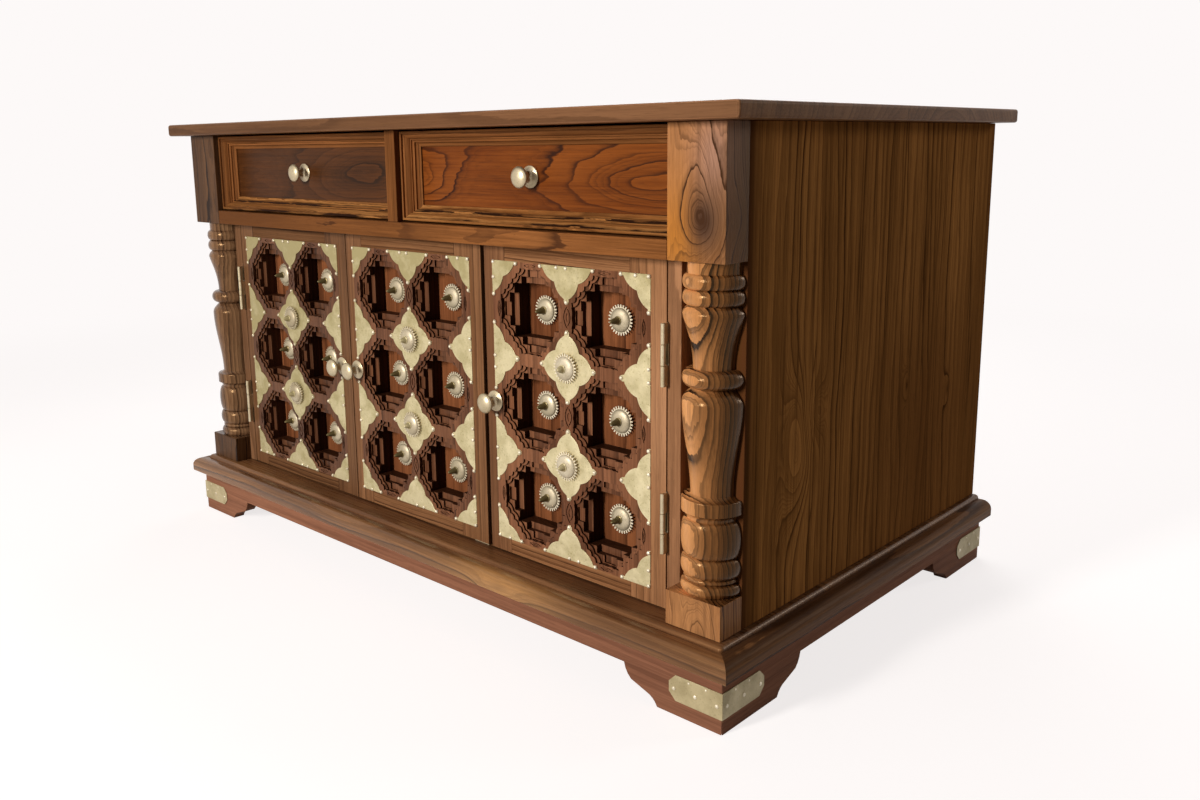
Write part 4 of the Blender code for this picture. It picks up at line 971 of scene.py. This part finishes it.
def edge_places(centre):
    """(x, z, upright) of each half eye on the border beside an outer niche."""
    x, z = centre
    half = NICHE_PITCH / 2
    out = GROUND_REACH + 0.0035
    places = []
    for side in (-1, 1):
        places += [(x + side * (half + out), z + row * NICHE_PITCH, True) for row in (-1, 0, 1)]
        for level in (-1, 1):
            places.append((x + side * half, z + level * (NICHE_PITCH + out), False))
    return places


def eye_cutters(places, length, width):
    """Lens-shaped grooves with a slit in the middle, cut from the door's face."""
    bm = bmesh.new()
    for x, z, upright in places:
        at = lambda a, b, y: (x + a, y, z + b)
        outer = lens_outline(length, width, upright)
        inner = lens_outline(length - 5 * EYE_GROOVE, width - 2 * EYE_GROOVE, upright)
        add_ring_prism(bm, outer, inner, DOOR_Y - GAP, DOOR_Y + EYE_DEPTH, at)
        slit = lens_outline(length * 0.42, width * 0.28, upright)
        add_prism(bm, slit, DOOR_Y - GAP, DOOR_Y + EYE_DEPTH * 0.8, at)
    return mesh_from(bm, "eyes")


def niche_cutters(centre, outline, depth):
    bm = bmesh.new()
    for x, z in niche_centres(centre):
        add_prism(bm, outline, DOOR_Y - GAP, DOOR_Y + depth, lambda a, b, y: (x + a, y, z + b))
    return mesh_from(bm, "niches")


def joint_cutters(low, high):
    """Thin grooves where the door's rails meet its stiles."""
    bm = bmesh.new()
    for x in (low.x + LEFT_STILE_WIDTH, high.x - RIGHT_STILE_WIDTH):
        for z in ((low.z - GAP, low.z + PLATE_MARGIN), (high.z - PLATE_MARGIN, high.z + GAP)):
            add_box(bm, (x, DOOR_Y - GAP, z[0]), (x + JOINT_WIDTH, DOOR_Y + JOINT_DEPTH, z[1]))
    return mesh_from(bm, "joints")


STILE_FACE, RAIL_FACE, CARVED_FACE, WALL_FACE = range(4)


def paint_door_faces(mesh, low, high, centre):
    """Cuts the faces along the frame's lines and gives each its stile, rail or carved finish, or the near
    black wall wood that is painted shade.
    """
    bm = bmesh.new()
    bm.from_mesh(mesh)
    cuts = [((x, 0, 0), (1, 0, 0)) for x in (low.x + LEFT_STILE_WIDTH, high.x - RIGHT_STILE_WIDTH)]
    cuts += [((centre[0] + side * PATTERN_HALF_WIDTH, 0, 0), (1, 0, 0)) for side in (-1, 1)]
    cuts += [((0, 0, centre[1] + side * PATTERN_HALF_HEIGHT), (0, 0, 1)) for side in (-1, 1)]
    for place, normal in cuts:
        geometry = [*bm.verts, *bm.edges, *bm.faces]
        bmesh.ops.bisect_plane(bm, geom=geometry, plane_co=place, plane_no=normal, dist=CUT_TOLERANCE)
    bm.normal_update()
    for face in bm.faces:
        middle = face.calc_center_median()
        in_width = abs(middle.x - centre[0]) < PATTERN_HALF_WIDTH
        in_height = abs(middle.z - centre[1]) < PATTERN_HALF_HEIGHT
        if in_width and in_height and middle.y <= DOOR_BACK_Y - GAP:
            face.material_index = CARVED_FACE if face.normal.y < -0.5 else WALL_FACE
        elif low.x + LEFT_STILE_WIDTH < middle.x < high.x - RIGHT_STILE_WIDTH:
            face.material_index = RAIL_FACE
        else:
            face.material_index = STILE_FACE
    bm.to_mesh(mesh)
    bm.free()


def door_panel(door, free, materials):
    """The thick panel: sunk scalloped ground, stepped niches, carved eyes, frame joints."""
    node = f"{door}_door_panel"
    low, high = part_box(node)
    centre = ((low.x + high.x) / 2 + PATTERN_SHIFT, DOOR_MIDDLE_Z)
    left_back = low.x + (DOOR_BEVEL if free < 0 else 0.0)
    right_back = high.x - (DOOR_BEVEL if free > 0 else 0.0)
    plan = [(low.x, DOOR_Y), (high.x, DOOR_Y), (right_back, high.y), (left_back, high.y)]
    bm = bmesh.new()
    add_prism(bm, plan, low.z, high.z, lambda a, b, z: (a, b, z))
    mesh = mesh_from(bm, "slab")
    steps = (
        (square_outline(NICHE_INNER), high.y - DOOR_Y + GAP),
        (plus_outline(NICHE_INNER + NICHE_STEP, NICHE_ARM_WIDE), NICHE_DEPTH_WIDE),
        (plus_outline(NICHE_INNER + 2 * NICHE_STEP, NICHE_ARM_NARROW), NICHE_DEPTH_NARROW),
    )
    for band in BAND_LEVELS:
        outline = ground_outline(band["from_plate"], band["scallops"], band["rise"])
        mesh = combined(mesh, niche_cutters(centre, outline, band["depth"]), "DIFFERENCE")
    for outline, depth in steps:
        mesh = combined(mesh, niche_cutters(centre, outline, depth), "DIFFERENCE")
    mesh = combined(mesh, eye_cutters(eye_places(centre), EYE_LENGTH, EYE_WIDTH), "DIFFERENCE")
    mesh = combined(mesh, eye_cutters(edge_places(centre), EYE_LENGTH * 0.8, EYE_WIDTH * 0.45), "DIFFERENCE")
    mesh = combined(mesh, joint_cutters(low, high), "DIFFERENCE")
    paint_door_faces(mesh, low, high, centre)
    piece(f"{door}_door_carving", mesh, f"{door}_door", materials, (node,))
    return centre


def plate_side():
    """(a, b) points of one side of a plate, from tip to tip: neck, lobe, cusp, lobe, neck."""
    tip = PLATE_TIP_WIDTH / 2
    neck = (PLATE_HALF - PLATE_TIP_LENGTH, PLATE_NECK_WIDTH / 2)
    cusp = (PLATE_HALF / 2 - PLATE_CUSP_DEPTH, PLATE_HALF / 2 - PLATE_CUSP_DEPTH)
    start = (PLATE_HALF - 0.0012, tip)
    first = [(PLATE_HALF, tip * 0.6), start]
    first += arc(start, neck, -0.0008, 4)
    first += arc(neck, cusp, -PLATE_LOBE_RISE, 9)
    second = [(b, a) for a, b in reversed(first[:-1])]
    return first + second


def plate_outline(quarters):
    """A plate made of some of the four quarters of the lobed diamond, cut along lines through its middle."""
    points = [quarter_turned(point, turn) for turn in quarters for point in plate_side()]
    if len(quarters) == 4:
        return points
    first_tip = quarter_turned((PLATE_HALF, 0.0), quarters[0])
    last_tip = quarter_turned((PLATE_HALF, 0.0), quarters[-1] + 1)
    points = [first_tip, *points, last_tip]
    if len(quarters) == 1:
        points.append((0.0, 0.0))
    return points


def plate_nails(quarters):
    """(a, b) places of the nails of a plate: one in each tip, more along a straight edge."""
    tip = PLATE_HALF - NAIL_INSET
    if len(quarters) == 4:
        return [quarter_turned((tip, 0.0), turn) for turn in range(4)]
    inset = NAIL_INSET * 0.8
    if len(quarters) == 2:
        places = [(tip, inset), (-tip, inset), (0.0, tip), (0.0, inset), (tip * 0.36, inset)]
    else:
        places = [(inset, inset), (tip, inset), (inset, tip), (tip * 0.5, inset)]
    return [quarter_turned(place, quarters[0]) for place in places]


def door_plates(centre):
    """The twelve plates of a door as (x, z, quarters): two whole, six halves on the border, four corners."""
    x, z = centre
    wide, high = PATTERN_HALF_WIDTH, PATTERN_HALF_HEIGHT
    plates = [(px, pz, (0, 1, 2, 3)) for px, pz in junctions(centre)]
    for _, pz in junctions(centre):
        plates += [(x - wide, pz, (3, 0)), (x + wide, pz, (1, 2))]
    plates += [(x, z + high, (2, 3)), (x, z - high, (0, 1))]
    plates += [(x - wide, z - high, (0,)), (x + wide, z - high, (1,))]
    plates += [(x + wide, z + high, (2,)), (x - wide, z + high, (3,))]
    return plates


def stud_pieces(door, place, studs, spikes, stud_brasses, spike_brass):
    body = f"{door}_door"
    piece(f"{body}_{place}_studs", mesh_from(studs, "studs"), body, stud_brasses, smooth=40)
    piece(f"{body}_{place}_spikes", mesh_from(spikes, "spikes"), body, [spike_brass], smooth=40)


def door_brass(door, centre, plate_brass, stud_brass, rim_brass):
    """Plates let into the door's face, their nails, and the studs on the two whole plates."""
    body = f"{door}_door"
    face_y = DOOR_Y - PLATE_THICKNESS
    plates, nails, studs, spikes = (bmesh.new() for _ in range(4))
    for x, z, quarters in door_plates(centre):
        at = lambda a, b, y: (x + a, y, z + b)
        add_prism(plates, plate_outline(quarters), face_y, DOOR_Y + PLATE_THICKNESS / 2, at)
        for a, b in plate_nails(quarters):
            add_nail(nails, x + a, face_y, z + b, NAIL_RADIUS, NAIL_HEIGHT)
    for x, z in junctions(centre):
        add_stud(studs, spikes, x, face_y, z, **PLATE_STUD)
    piece(f"{door}_door_plates", mesh_from(plates, "plates"), body, [plate_brass], edge=BRASS_EDGE)
    piece(f"{door}_door_nails", mesh_from(nails, "nails"), body, [rim_brass], smooth=60)
    stud_pieces(door, "plate", studs, spikes, [stud_brass, rim_brass], plate_brass)


def door_back(door, centre, wood_material, stud_brass, rim_brass, dark_brass):
    """The board behind the niches and the studs that stand on it."""
    node = f"{door}_door_back_board"
    low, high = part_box(node)
    face_y = DOOR_BACK_Y + GAP
    bm = bmesh.new()
    add_box(bm, (low.x, face_y, low.z), high)
    board = mesh_from(bm, "back board")
    materials = [wood_material]
    piece(f"{door}_door_backing", board, f"{door}_door", materials, (node,), edge=BOARD_EDGE)
    studs, spikes = bmesh.new(), bmesh.new()
    for x, z in niche_centres(centre):
        add_stud(studs, spikes, x, face_y, z, **NICHE_STUD)
    stud_pieces(door, "niche", studs, spikes, [stud_brass, rim_brass], dark_brass)


def hinge(door, level, sign, material):
    """Knuckles and leaves of a butt hinge, each leaf with its own share of the barrel."""
    for leaf, body, side in (("frame_leaf", "carcass", sign), ("door_leaf", f"{door}_door", -sign)):
        node = f"{door}_door_{level}_hinge_{leaf}"
        low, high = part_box(node)
        third = (high.z - low.z) / 3
        axis_x = low.x + HINGE_RADIUS if side > 0 else high.x - HINGE_RADIUS
        axis_y = low.y + HINGE_RADIUS
        plate_x = sorted(axis_x + side * out for out in HINGE_LEAF)
        knuckles = [(low.z, low.z + third - GAP), (high.z - third + GAP, high.z)]
        if leaf == "door_leaf":
            knuckles = [(low.z + third + GAP, high.z - third - GAP)]
        bm = bmesh.new()
        add_box(bm, (plate_x[0], DOOR_Y + GAP, low.z), (plate_x[1], high.y, high.z))
        for bottom, top in knuckles:
            add_box(bm, (plate_x[0], axis_y, bottom), (plate_x[1], DOOR_Y + 2 * GAP, top))
            rim = HINGE_RADIUS - HINGE_RIM
            profile = [(bottom, rim), (bottom + HINGE_RIM, HINGE_RADIUS)]
            profile += [(top - HINGE_RIM, HINGE_RADIUS), (top, rim)]
            add_turning(bm, profile, HINGE_SIDES, lambda u, v, z: (axis_x + u, axis_y + v, z))
        piece(f"{node}_shaped", mesh_from(bm, node), body, [material], (node,), smooth=35)


# Stage


def seen_rays(paint):
    """One where a ray comes from the camera, a reflection or a see-through surface."""
    path = paint.tree.nodes.new("ShaderNodeLightPath").outputs
    seen = paint.math("MAXIMUM", path["Is Camera Ray"], path["Is Glossy Ray"])
    return paint.math("MAXIMUM", seen, path["Is Transmission Ray"])


def backdrop_world():
    """Pale all round for what the camera and polished faces see, dim as a light."""
    world = bpy.data.worlds.new("studio")
    bpy.context.scene.world = world
    paint = Paint(world)
    paint.tree.nodes.remove(paint.tree.nodes["Background"])
    dim = paint.add("ShaderNodeBackground", {"Color": AMBIENT_COLOUR, "Strength": AMBIENT})
    seen = paint.add("ShaderNodeBackground", {"Color": (*BACKDROP, 1.0), "Strength": 1.0})
    both = paint.add("ShaderNodeMixShader", {0: seen_rays(paint), 1: dim, 2: seen})
    paint.feed(paint.tree.nodes["World Output"].inputs["Surface"], both)


def floor():
    """A wide pale floor that keeps a soft shadow near the piece and fades into the backdrop farther out."""
    corners = square_outline(-1.0)
    mesh = bpy.data.meshes.new("floor")
    mesh.from_pydata([(FLOOR_HALF * a, FLOOR_HALF * b, 0.0) for a, b in corners], [], [(0, 1, 2, 3)])
    obj = bpy.data.objects.new("floor", mesh)
    bpy.context.scene.collection.objects.link(obj)
    paint = Paint(bpy.data.materials.new("pale floor"))
    mesh.materials.append(paint.owner)
    paint.tree.nodes.remove(paint.surface)
    pale = (*BACKDROP, 1.0)
    lit = paint.add("ShaderNodeBsdfDiffuse", {"Color": (*[FLOOR_ALBEDO * c for c in FLOOR_TINT], 1.0)})
    shade = paint.add("ShaderNodeBsdfDiffuse", {"Color": (*[FLOOR_SHADE * c for c in BACKDROP], 1.0)})
    glow = paint.add("ShaderNodeEmission", {"Color": pale, "Strength": 1.0 - FLOOR_SHADE * FLOOR_LIGHT})
    near = paint.add("ShaderNodeAddShader", {0: shade, 1: glow})
    far = paint.add("ShaderNodeEmission", {"Color": pale})
    away = paint.vector("LENGTH", paint.add("ShaderNodeTexCoord", {}, "Object"), output=1)
    limits = {"Value": away, "From Min": FLOOR_FADE[0], "From Max": FLOOR_FADE[1]}
    fade = paint.add("ShaderNodeMapRange", limits, interpolation_type="SMOOTHSTEP")
    shown = paint.add("ShaderNodeMixShader", {0: fade, 1: near, 2: far})
    both = paint.add("ShaderNodeMixShader", {0: seen_rays(paint), 1: lit, 2: shown})
    paint.feed(paint.tree.nodes["Material Output"].inputs["Surface"], both)


def softbox(name, place, aim, size, power, colour=(1.0, 1.0, 1.0)):
    data = bpy.data.lights.new(name, "AREA")
    data.shape = "RECTANGLE"
    data.size, data.size_y = size
    data.energy = power
    data.color = colour
    obj = bpy.data.objects.new(name, data)
    obj.location = place
    obj.rotation_euler = (Vector(aim) - Vector(place)).to_track_quat("-Z", "Y").to_euler()
    obj.visible_camera = False
    bpy.context.scene.collection.objects.link(obj)


def lights():
    softbox("key", (-0.10, -3.20, 1.25), (0.0, -0.30, 0.40), (0.35, 0.9), 92.0, WARM)
    softbox("side", (2.9, 3.0, 1.8), (0.58, 0.05, 0.35), (1.2, 1.2), 31.0, WARM)
    softbox("rear", (-1.4, 2.4, 1.5), (-0.2, 0.2, 0.4), (1.6, 1.2), 22.0)
    softbox("overhead", (0.0, 0.7, 2.0), (0.0, 0.2, 0.7), (1.2, 0.8), 10.0)


def camera():
    data = bpy.data.cameras.new("camera")
    data.lens = CAMERA_LENS
    data.shift_x, data.shift_y = CAMERA_SHIFT
    obj = bpy.data.objects.new("camera", data)
    obj.location = CAMERA_PLACE
    obj.rotation_euler = Euler([math.radians(a) for a in CAMERA_TURN])
    bpy.context.scene.collection.objects.link(obj)
    bpy.context.scene.camera = obj


# The whole piece


def dress_carcass():
    sapwood = [((-0.375, 0.700, 0.50), (0.020, 0.1, 0.55), (0.50, 0.235, 0.115), 0.95)]
    top = wood(
        "top wood", TOP, "X", 3, pith=(0.10, 0.55), planks=(0, 0.185, -0.36), spacing=0.009, figure=0.5,
        rough=0.36, shine=0.06, tints=sapwood,
    )
    rounded_board("top_board", TOP_ROUND, ("top", "bottom"), top)
    base = wood(
        "base wood", BASE, "X", 5, pith=(-0.33, -0.05), planks=(0, 0.24, -0.36), spacing=0.008, band=0.28,
        sway=0.016, figure=0.6, coat=0.05, rough=0.28, shine=0.25,
    )
    rounded_board("base_board", NOSING_ROUND, ("top",), base)
    lip = {"spacing": 0.008, "band": 0.34, "figure": 0.8, "jag": 0.001}
    gold = [((-0.362, 0.075, 0.235), (0.1, 0.05, 0.10), (0.56, 0.280, 0.095), 0.7)]
    eye = [((-0.362, 0.077, 0.235), (0.1, 0.012, 0.045), 0.016, 0.0)]
    front_lip = wood(
        "front lip wood", BASE, "X", 7, pith=(-0.33, 0.02), sway=0.016, knots=eye, tints=gold,
        coat=0.12, rough=0.20, shine=0.5, **lip
    )
    side_lip = wood("side lip wood", BASE, "Y", 8, pith=(0.02, 0.58), sway=0.018, shine=0.05, **lip)
    base_mouldings(front_lip, side_lip)
    plinth = {"spacing": 0.008, "figure": 0.35, "rough": 0.48}
    plinth_x = wood("plinth wood", PLINTH, "X", 11, pith=(-0.25, 0.1), **plinth)
    plinth_y = wood("plinth end wood", PLINTH, "Y", 12, pith=(0.1, 0.5), **plinth)
    for node, material in (("front", plinth_x), ("back", plinth_x), ("left", plinth_y), ("right", plinth_y)):
        dress(f"{node}_plinth", material)
    face_x = 0.5775
    swirls = [
        ((face_x, -0.170, 0.300), (0.05, 0.034, 0.075), 0.080, 0.0),
        ((face_x, -0.140, 0.335), (0.05, 0.024, 0.045), -0.060, 0.0),
        ((face_x, 0.110, 0.329), (0.05, 0.010, 0.022), 0.026, 0.6),
        ((face_x, 0.245, 0.300), (0.05, 0.011, 0.026), 0.030, 0.6),
    ]
    # A darker copy of the side wood's line colour, for the painted shade below.
    shade = shaded(SIDE, 2.2)["line"]
    for side, sign, seed in (("left", -1, 14), ("right", 1, 15)):
        low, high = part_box(f"{side}_side_panel")
        panel = wood(
            f"{side} side wood", SIDE, "Z", seed, pith=(sign * 0.62, 1.1), planks=(1, 0.160, -0.30),
            spacing=0.016, band=0.24, fine=0.0024, sway=0.036, ripple=0.005, figure=1.3, streak=0.9,
            rough=0.46, shine=0.0,
            knots=swirls if sign > 0 else (), tints=[
                # Painted shade: darker towards the lower back, along the back edge and along the front edge
                # beside the post.
                ((sign * face_x, 0.18, 0.24), (0.1, 0.18, 0.22), shade, 0.75),
                ((sign * face_x, high.y, 0.40), (0.1, 0.012, 2.0), shade, 0.8),
                ((sign * face_x, low.y, 0.40), (0.1, 0.016, 2.0), (0.10, 0.034, 0.012), 1.0),
            ],
        )
        dress(f"{side}_side_panel", panel)
        # The left stile takes a darker copy of the stile wood: painted shade where the light falls off; the
        # pale pink stile tone is partly painted sheen.
        tone = STILE if sign > 0 else shaded(STILE, 0.55)
        pith = (sign * 0.48, -0.2)
        stile = wood(f"{side} stile wood", tone, "Z", seed + 3, pith, spacing=0.006, figure=0.8)
        dress(f"{side}_stile", stile)
    # Painted shade: the rail darker towards its left end, where the light falls off.
    rail_shade_left_end = [((-0.25, 0.56, -0.50), (0.9, 0.9, 0.60), (0.12, 0.044, 0.014), 0.85)]
    rail = wood(
        "rail wood", shaded(FRAME, 1.3), "X", 21, pith=(-0.25, 0.56), spacing=0.007, band=0.26, sway=0.018,
        figure=1.5, ripple=0.003, tints=rail_shade_left_end,
    )
    dress("drawer_rail", rail)
    muntin = wood("muntin wood", FRAME, "Z", 22, pith=(0.0, -0.25), spacing=0.006, figure=0.6)
    dress("drawer_muntin", muntin)
    inner = {"spacing": 0.012, "figure": 0.35, "rough": 0.6}
    inner_x = wood("inner wood", INNER, "X", 25, pith=(0.2, 0.3), **inner)
    inner_y = wood("inner board wood", INNER, "Y", 26, pith=(0.3, 0.1), **inner)
    inner_z = wood("back wood", INNER, "Z", 27, pith=(0.1, 0.5), planks=(0, 0.14, -0.56), **inner)
    dress("back_panel", inner_z)
    dress("inner_partition", inner_z)
    dress("drawer_deck", inner_x)
    for node in ("drawer_divider", "left_drawer_guide", "right_drawer_guide"):
        dress(node, inner_y)
    for drawer in ("left_drawer", "right_drawer"):
        for node in ("left_side", "right_side"):
            dress(f"{drawer}_{node}", inner_y)
        for node in ("back", "bottom"):
            dress(f"{drawer}_{node}", inner_x)


def dress_posts():
    front = POST_LOW.y
    knots = [
        ((0.548, front, 0.583), (0.024, 0.06, 0.030), 0.024, 0.8),
        ((0.540, front, 0.612), (0.024, 0.06, 0.056), 0.024, 0.0),
        ((0.578, -0.305, 0.585), (0.05, 0.018, 0.030), 0.014, 0.0),
        ((0.548, front, 0.092), (0.020, 0.06, 0.050), 0.034, 0.6),
    ]
    tints = [
        ((0.512, front, 0.565), (0.036, 0.08, 0.066), (0.54, 0.200, 0.034), 1.0),
        # Painted sheen: a pale pink patch at the upper right of the block's front.
        ((0.562, front, 0.655), (0.026, 0.08, 0.048), (0.47, 0.255, 0.180), 0.8),
        ((0.540, front, 0.095), (0.060, 0.08, 0.050), (0.52, 0.245, 0.095), 0.6),
        ((0.550, front, 0.583), (0.026, 0.08, 0.042), (0.075, 0.040, 0.028), 1.0),
        # Painted shade: the block darker along its side face.
        ((POST_HIGH.x + 0.008, front + 0.050, 0.60), (0.022, 0.050, 0.30), (0.105, 0.052, 0.017), 1.0),
    ]
    # On the right column: painted shade down its right side and painted light, a bright gold, down its left
    # side.
    column_light_and_shade = [
        ((0.588, front + 0.03, 0.30), (0.046, 0.06, 0.5), (0.065, 0.022, 0.006), 1.0),
        ((0.518, front, 0.30), (0.026, 0.05, 0.5), (0.84, 0.385, 0.140), 0.9),
    ]
    for side, sign, seed in (("left", -1, 31), ("right", 1, 33)):
        axis_x = sign * (POST_LOW.x + POST_HIGH.x) / 2
        tone = POST if sign > 0 else LEFT_POST
        shaft_tone = SHAFT if sign > 0 else LEFT_SHAFT
        shared = {
            "pith": (axis_x + 0.05, front + 0.15), "fine": 0.0018, "jag": 0.0009,
            "knots": knots if sign > 0 else (),
        }
        block = wood(
            f"{side} block wood", tone, "Z", seed, spacing=0.0048, band=0.30, figure=1.6, shine=0.10,
            ripple=0.0062, sway=0.018, tints=tints if sign > 0 else (), **shared,
        )
        shaft = wood(
            f"{side} shaft wood", shaft_tone, "Z", seed, spacing=0.0058, band=0.40, sparse=0.0,
            figure=2.2 if sign > 0 else 1.1, rough=0.20, shine=0.34, ripple=0.0032, sway=0.012,
            tints=column_light_and_shade if sign > 0 else (), **shared,
        )
        corner_post(side, sign, block, shaft)


def dress_drawers(polished):
    looks = {
        "left": {
            "tone": LEFT_DRAWER,
            "seed": 41,
            "knots": [((-0.30, 0.626, -0.12), (0.1, 0.040, 0.14), 0.060, 0.0)],
        },
        "right": {
            "tone": RIGHT_DRAWER,
            "seed": 45,
            "knots": [
                ((-0.30, 0.622, 0.460), (0.1, 0.038, 0.150), 0.062, 0.0),
                ((-0.30, 0.626, 0.020), (0.1, 0.034, 0.080), 0.040, 0.0),
            ],
        },
    }
    for side, look in looks.items():
        name = f"{side}_drawer"
        seed = look["seed"]
        panel = wood(
            f"{side} drawer wood", look["tone"], "X", seed, pith=(0.05, 0.60), spacing=0.012, band=0.17,
            fine=0.004, sway=0.024, ripple=0.0075, jag=0.0010, figure=1.0, sparse=0.45, streak=0.35,
            shine=0.12, knots=look["knots"], rough=0.36,
        )
        dress(f"{name}_front", panel)
        strip = {"spacing": 0.004, "fine": 0.0013, "band": 0.45, "streak": 0.6}
        level = wood(f"{side} moulding wood", FRAME, "X", seed + 1, pith=(-0.25, 0.9), figure=0.6, **strip)
        foot = wood(
            f"{side} low moulding wood", ZEBRA, "X", seed + 2, pith=(-0.25, 0.57), figure=2.0, sway=0.012,
            jag=0.0012, ripple=0.004, sparse=0.0, **{**strip, "streak": 1.0},
        )
        pith = (0.9, -0.25)
        upright = wood(f"{side} side moulding wood", FRAME, "Z", seed + 3, pith, figure=0.6, **strip)
        drawer_moulding(f"{name}_moulding", name, [foot, upright, level, upright])
        knob(f"{name}_knob", name, polished)


def dress_doors(polished, satin, shaded_niche_brass, rim_brass, plate_brass, dark_brass):
    free_edges = {"left": 1, "middle": -1, "right": -1}
    # Painted shade on the carved faces: darker the deeper they lie in the door.
    depth = (1, DOOR_Y + 0.0010, DOOR_Y + 0.0070, 0.12)
    # Each door's frame and carved woods are darker copies towards the left: painted shade where the light
    # falls off.
    painted_falloff_shares = {"left": 0.50, "middle": 0.70, "right": 0.92}
    # The right door's stiles: a darker patch on the left one, and a paler patch on the right one that is
    # painted sheen.
    edges = {
        "right": [
            ((0.165, DOOR_Y, 0.32), (0.05, 0.2, 0.5), (0.15, 0.062, 0.028), 0.9),
            ((0.472, DOOR_Y, 0.36), (0.03, 0.2, 0.12), (0.52, 0.260, 0.130), 0.8),
        ]
    }
    for door, free in free_edges.items():
        seed = {"left": 51, "middle": 55, "right": 59}[door]
        low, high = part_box(f"{door}_door_panel")
        middle = (low.x + high.x) / 2
        frame_tone = shaded(DOOR, painted_falloff_shares[door])
        inside = {"pith": (middle, -0.1), "spacing": 0.008}
        stile = wood(
            f"{door} door stile wood", frame_tone, "Z", seed, pith=(middle, -0.15), spacing=0.007, figure=0.6,
            streak=0.55, tints=edges.get(door, ()), shine=0.10,
        )
        rail = wood(
            f"{door} door rail wood", frame_tone, "X", seed + 1, pith=(-0.2, 0.33), spacing=0.007, figure=1.1,
            streak=0.6,
        )
        carved = wood(
            f"{door} carved wood", shaded(CARVED, painted_falloff_shares[door]), "Z", seed + 2, figure=0.6, painted_depth_shade=depth,
            rough=0.30, shine=0.16, carved=2.0, **inside,
        )
        # The niche walls get a near black wood: painted shade.
        wall = wood(f"{door} niche wall wood", SHADED_WALL, "Z", seed + 4, figure=0.5, **inside)
        back = wood(f"{door} niche wood", NICHE, "Z", seed + 3, figure=0.6, **inside)
        centre = door_panel(door, free, [stile, rail, carved, wall])
        door_brass(door, centre, plate_brass, satin, rim_brass)
        door_back(door, centre, back, shaded_niche_brass, rim_brass, dark_brass)
        knob(f"{door}_door_knob", f"{door}_door", polished)
    for door, sign in (("left", -1), ("right", 1)):
        for level in ("upper", "lower"):
            hinge(door, level, sign, polished)


def main():
    bpy.context.scene.view_settings.view_transform = "Standard"
    # Painted shade on the brass: darker towards the left end and, on the plates, along the top, where the
    # light falls off.
    brass_shade_left_end = ((-0.60, -0.32, 0.45), (0.55, 0.5, 0.5), 0.8)
    upper = ((0.30, -0.32, 0.62), (0.8, 0.5, 0.17), 0.8)
    polished = brass("polished brass", (0.56, 0.465, 0.31), (0.33, 0.26, 0.13), 0.26, metal=0.8)
    satin = brass("satin brass", (0.64, 0.56, 0.41), (0.34, 0.27, 0.16), 0.40, metal=0.5, painted_shade_patches=[brass_shade_left_end])
    # The niche studs take a darker copy of the stud brass: painted shade inside the niches.
    shaded_niche_brass = brass("niche stud brass", (0.52, 0.44, 0.30), (0.26, 0.20, 0.11), 0.38, metal=0.5)
    rim_brass = brass("rim brass", (0.82, 0.73, 0.55), (0.50, 0.42, 0.27), 0.34, metal=0.45,
                      painted_shade_patches=[brass_shade_left_end])
    strap_brass = brass("strap brass", (0.52, 0.425, 0.235), (0.25, 0.19, 0.08), 0.42, metal=0.25, dents=1.4)
    plate_brass = brass(
        "plate brass", (0.72, 0.622, 0.378), (0.36, 0.295, 0.130), 0.40, metal=0.40, dents=2.0,
        painted_shade_patches=[brass_shade_left_end, upper],
    )
    dark_brass = brass("old brass", (0.24, 0.180, 0.070), (0.09, 0.062, 0.020), 0.34, metal=0.5)
    dress_carcass()
    dress_posts()
    dress_drawers(polished)
    dress_doors(polished, satin, shaded_niche_brass, rim_brass, plate_brass, dark_brass)
    for end in ("front", "back"):
        for side in ("left", "right"):
            foot_strap(end, side, strap_brass, rim_brass)
    for level in ("lower", "upper"):
        dress(f"middle_door_{level}_pivot", polished, BRASS_EDGE)
    backdrop_world()
    floor()
    lights()
    camera()


main()
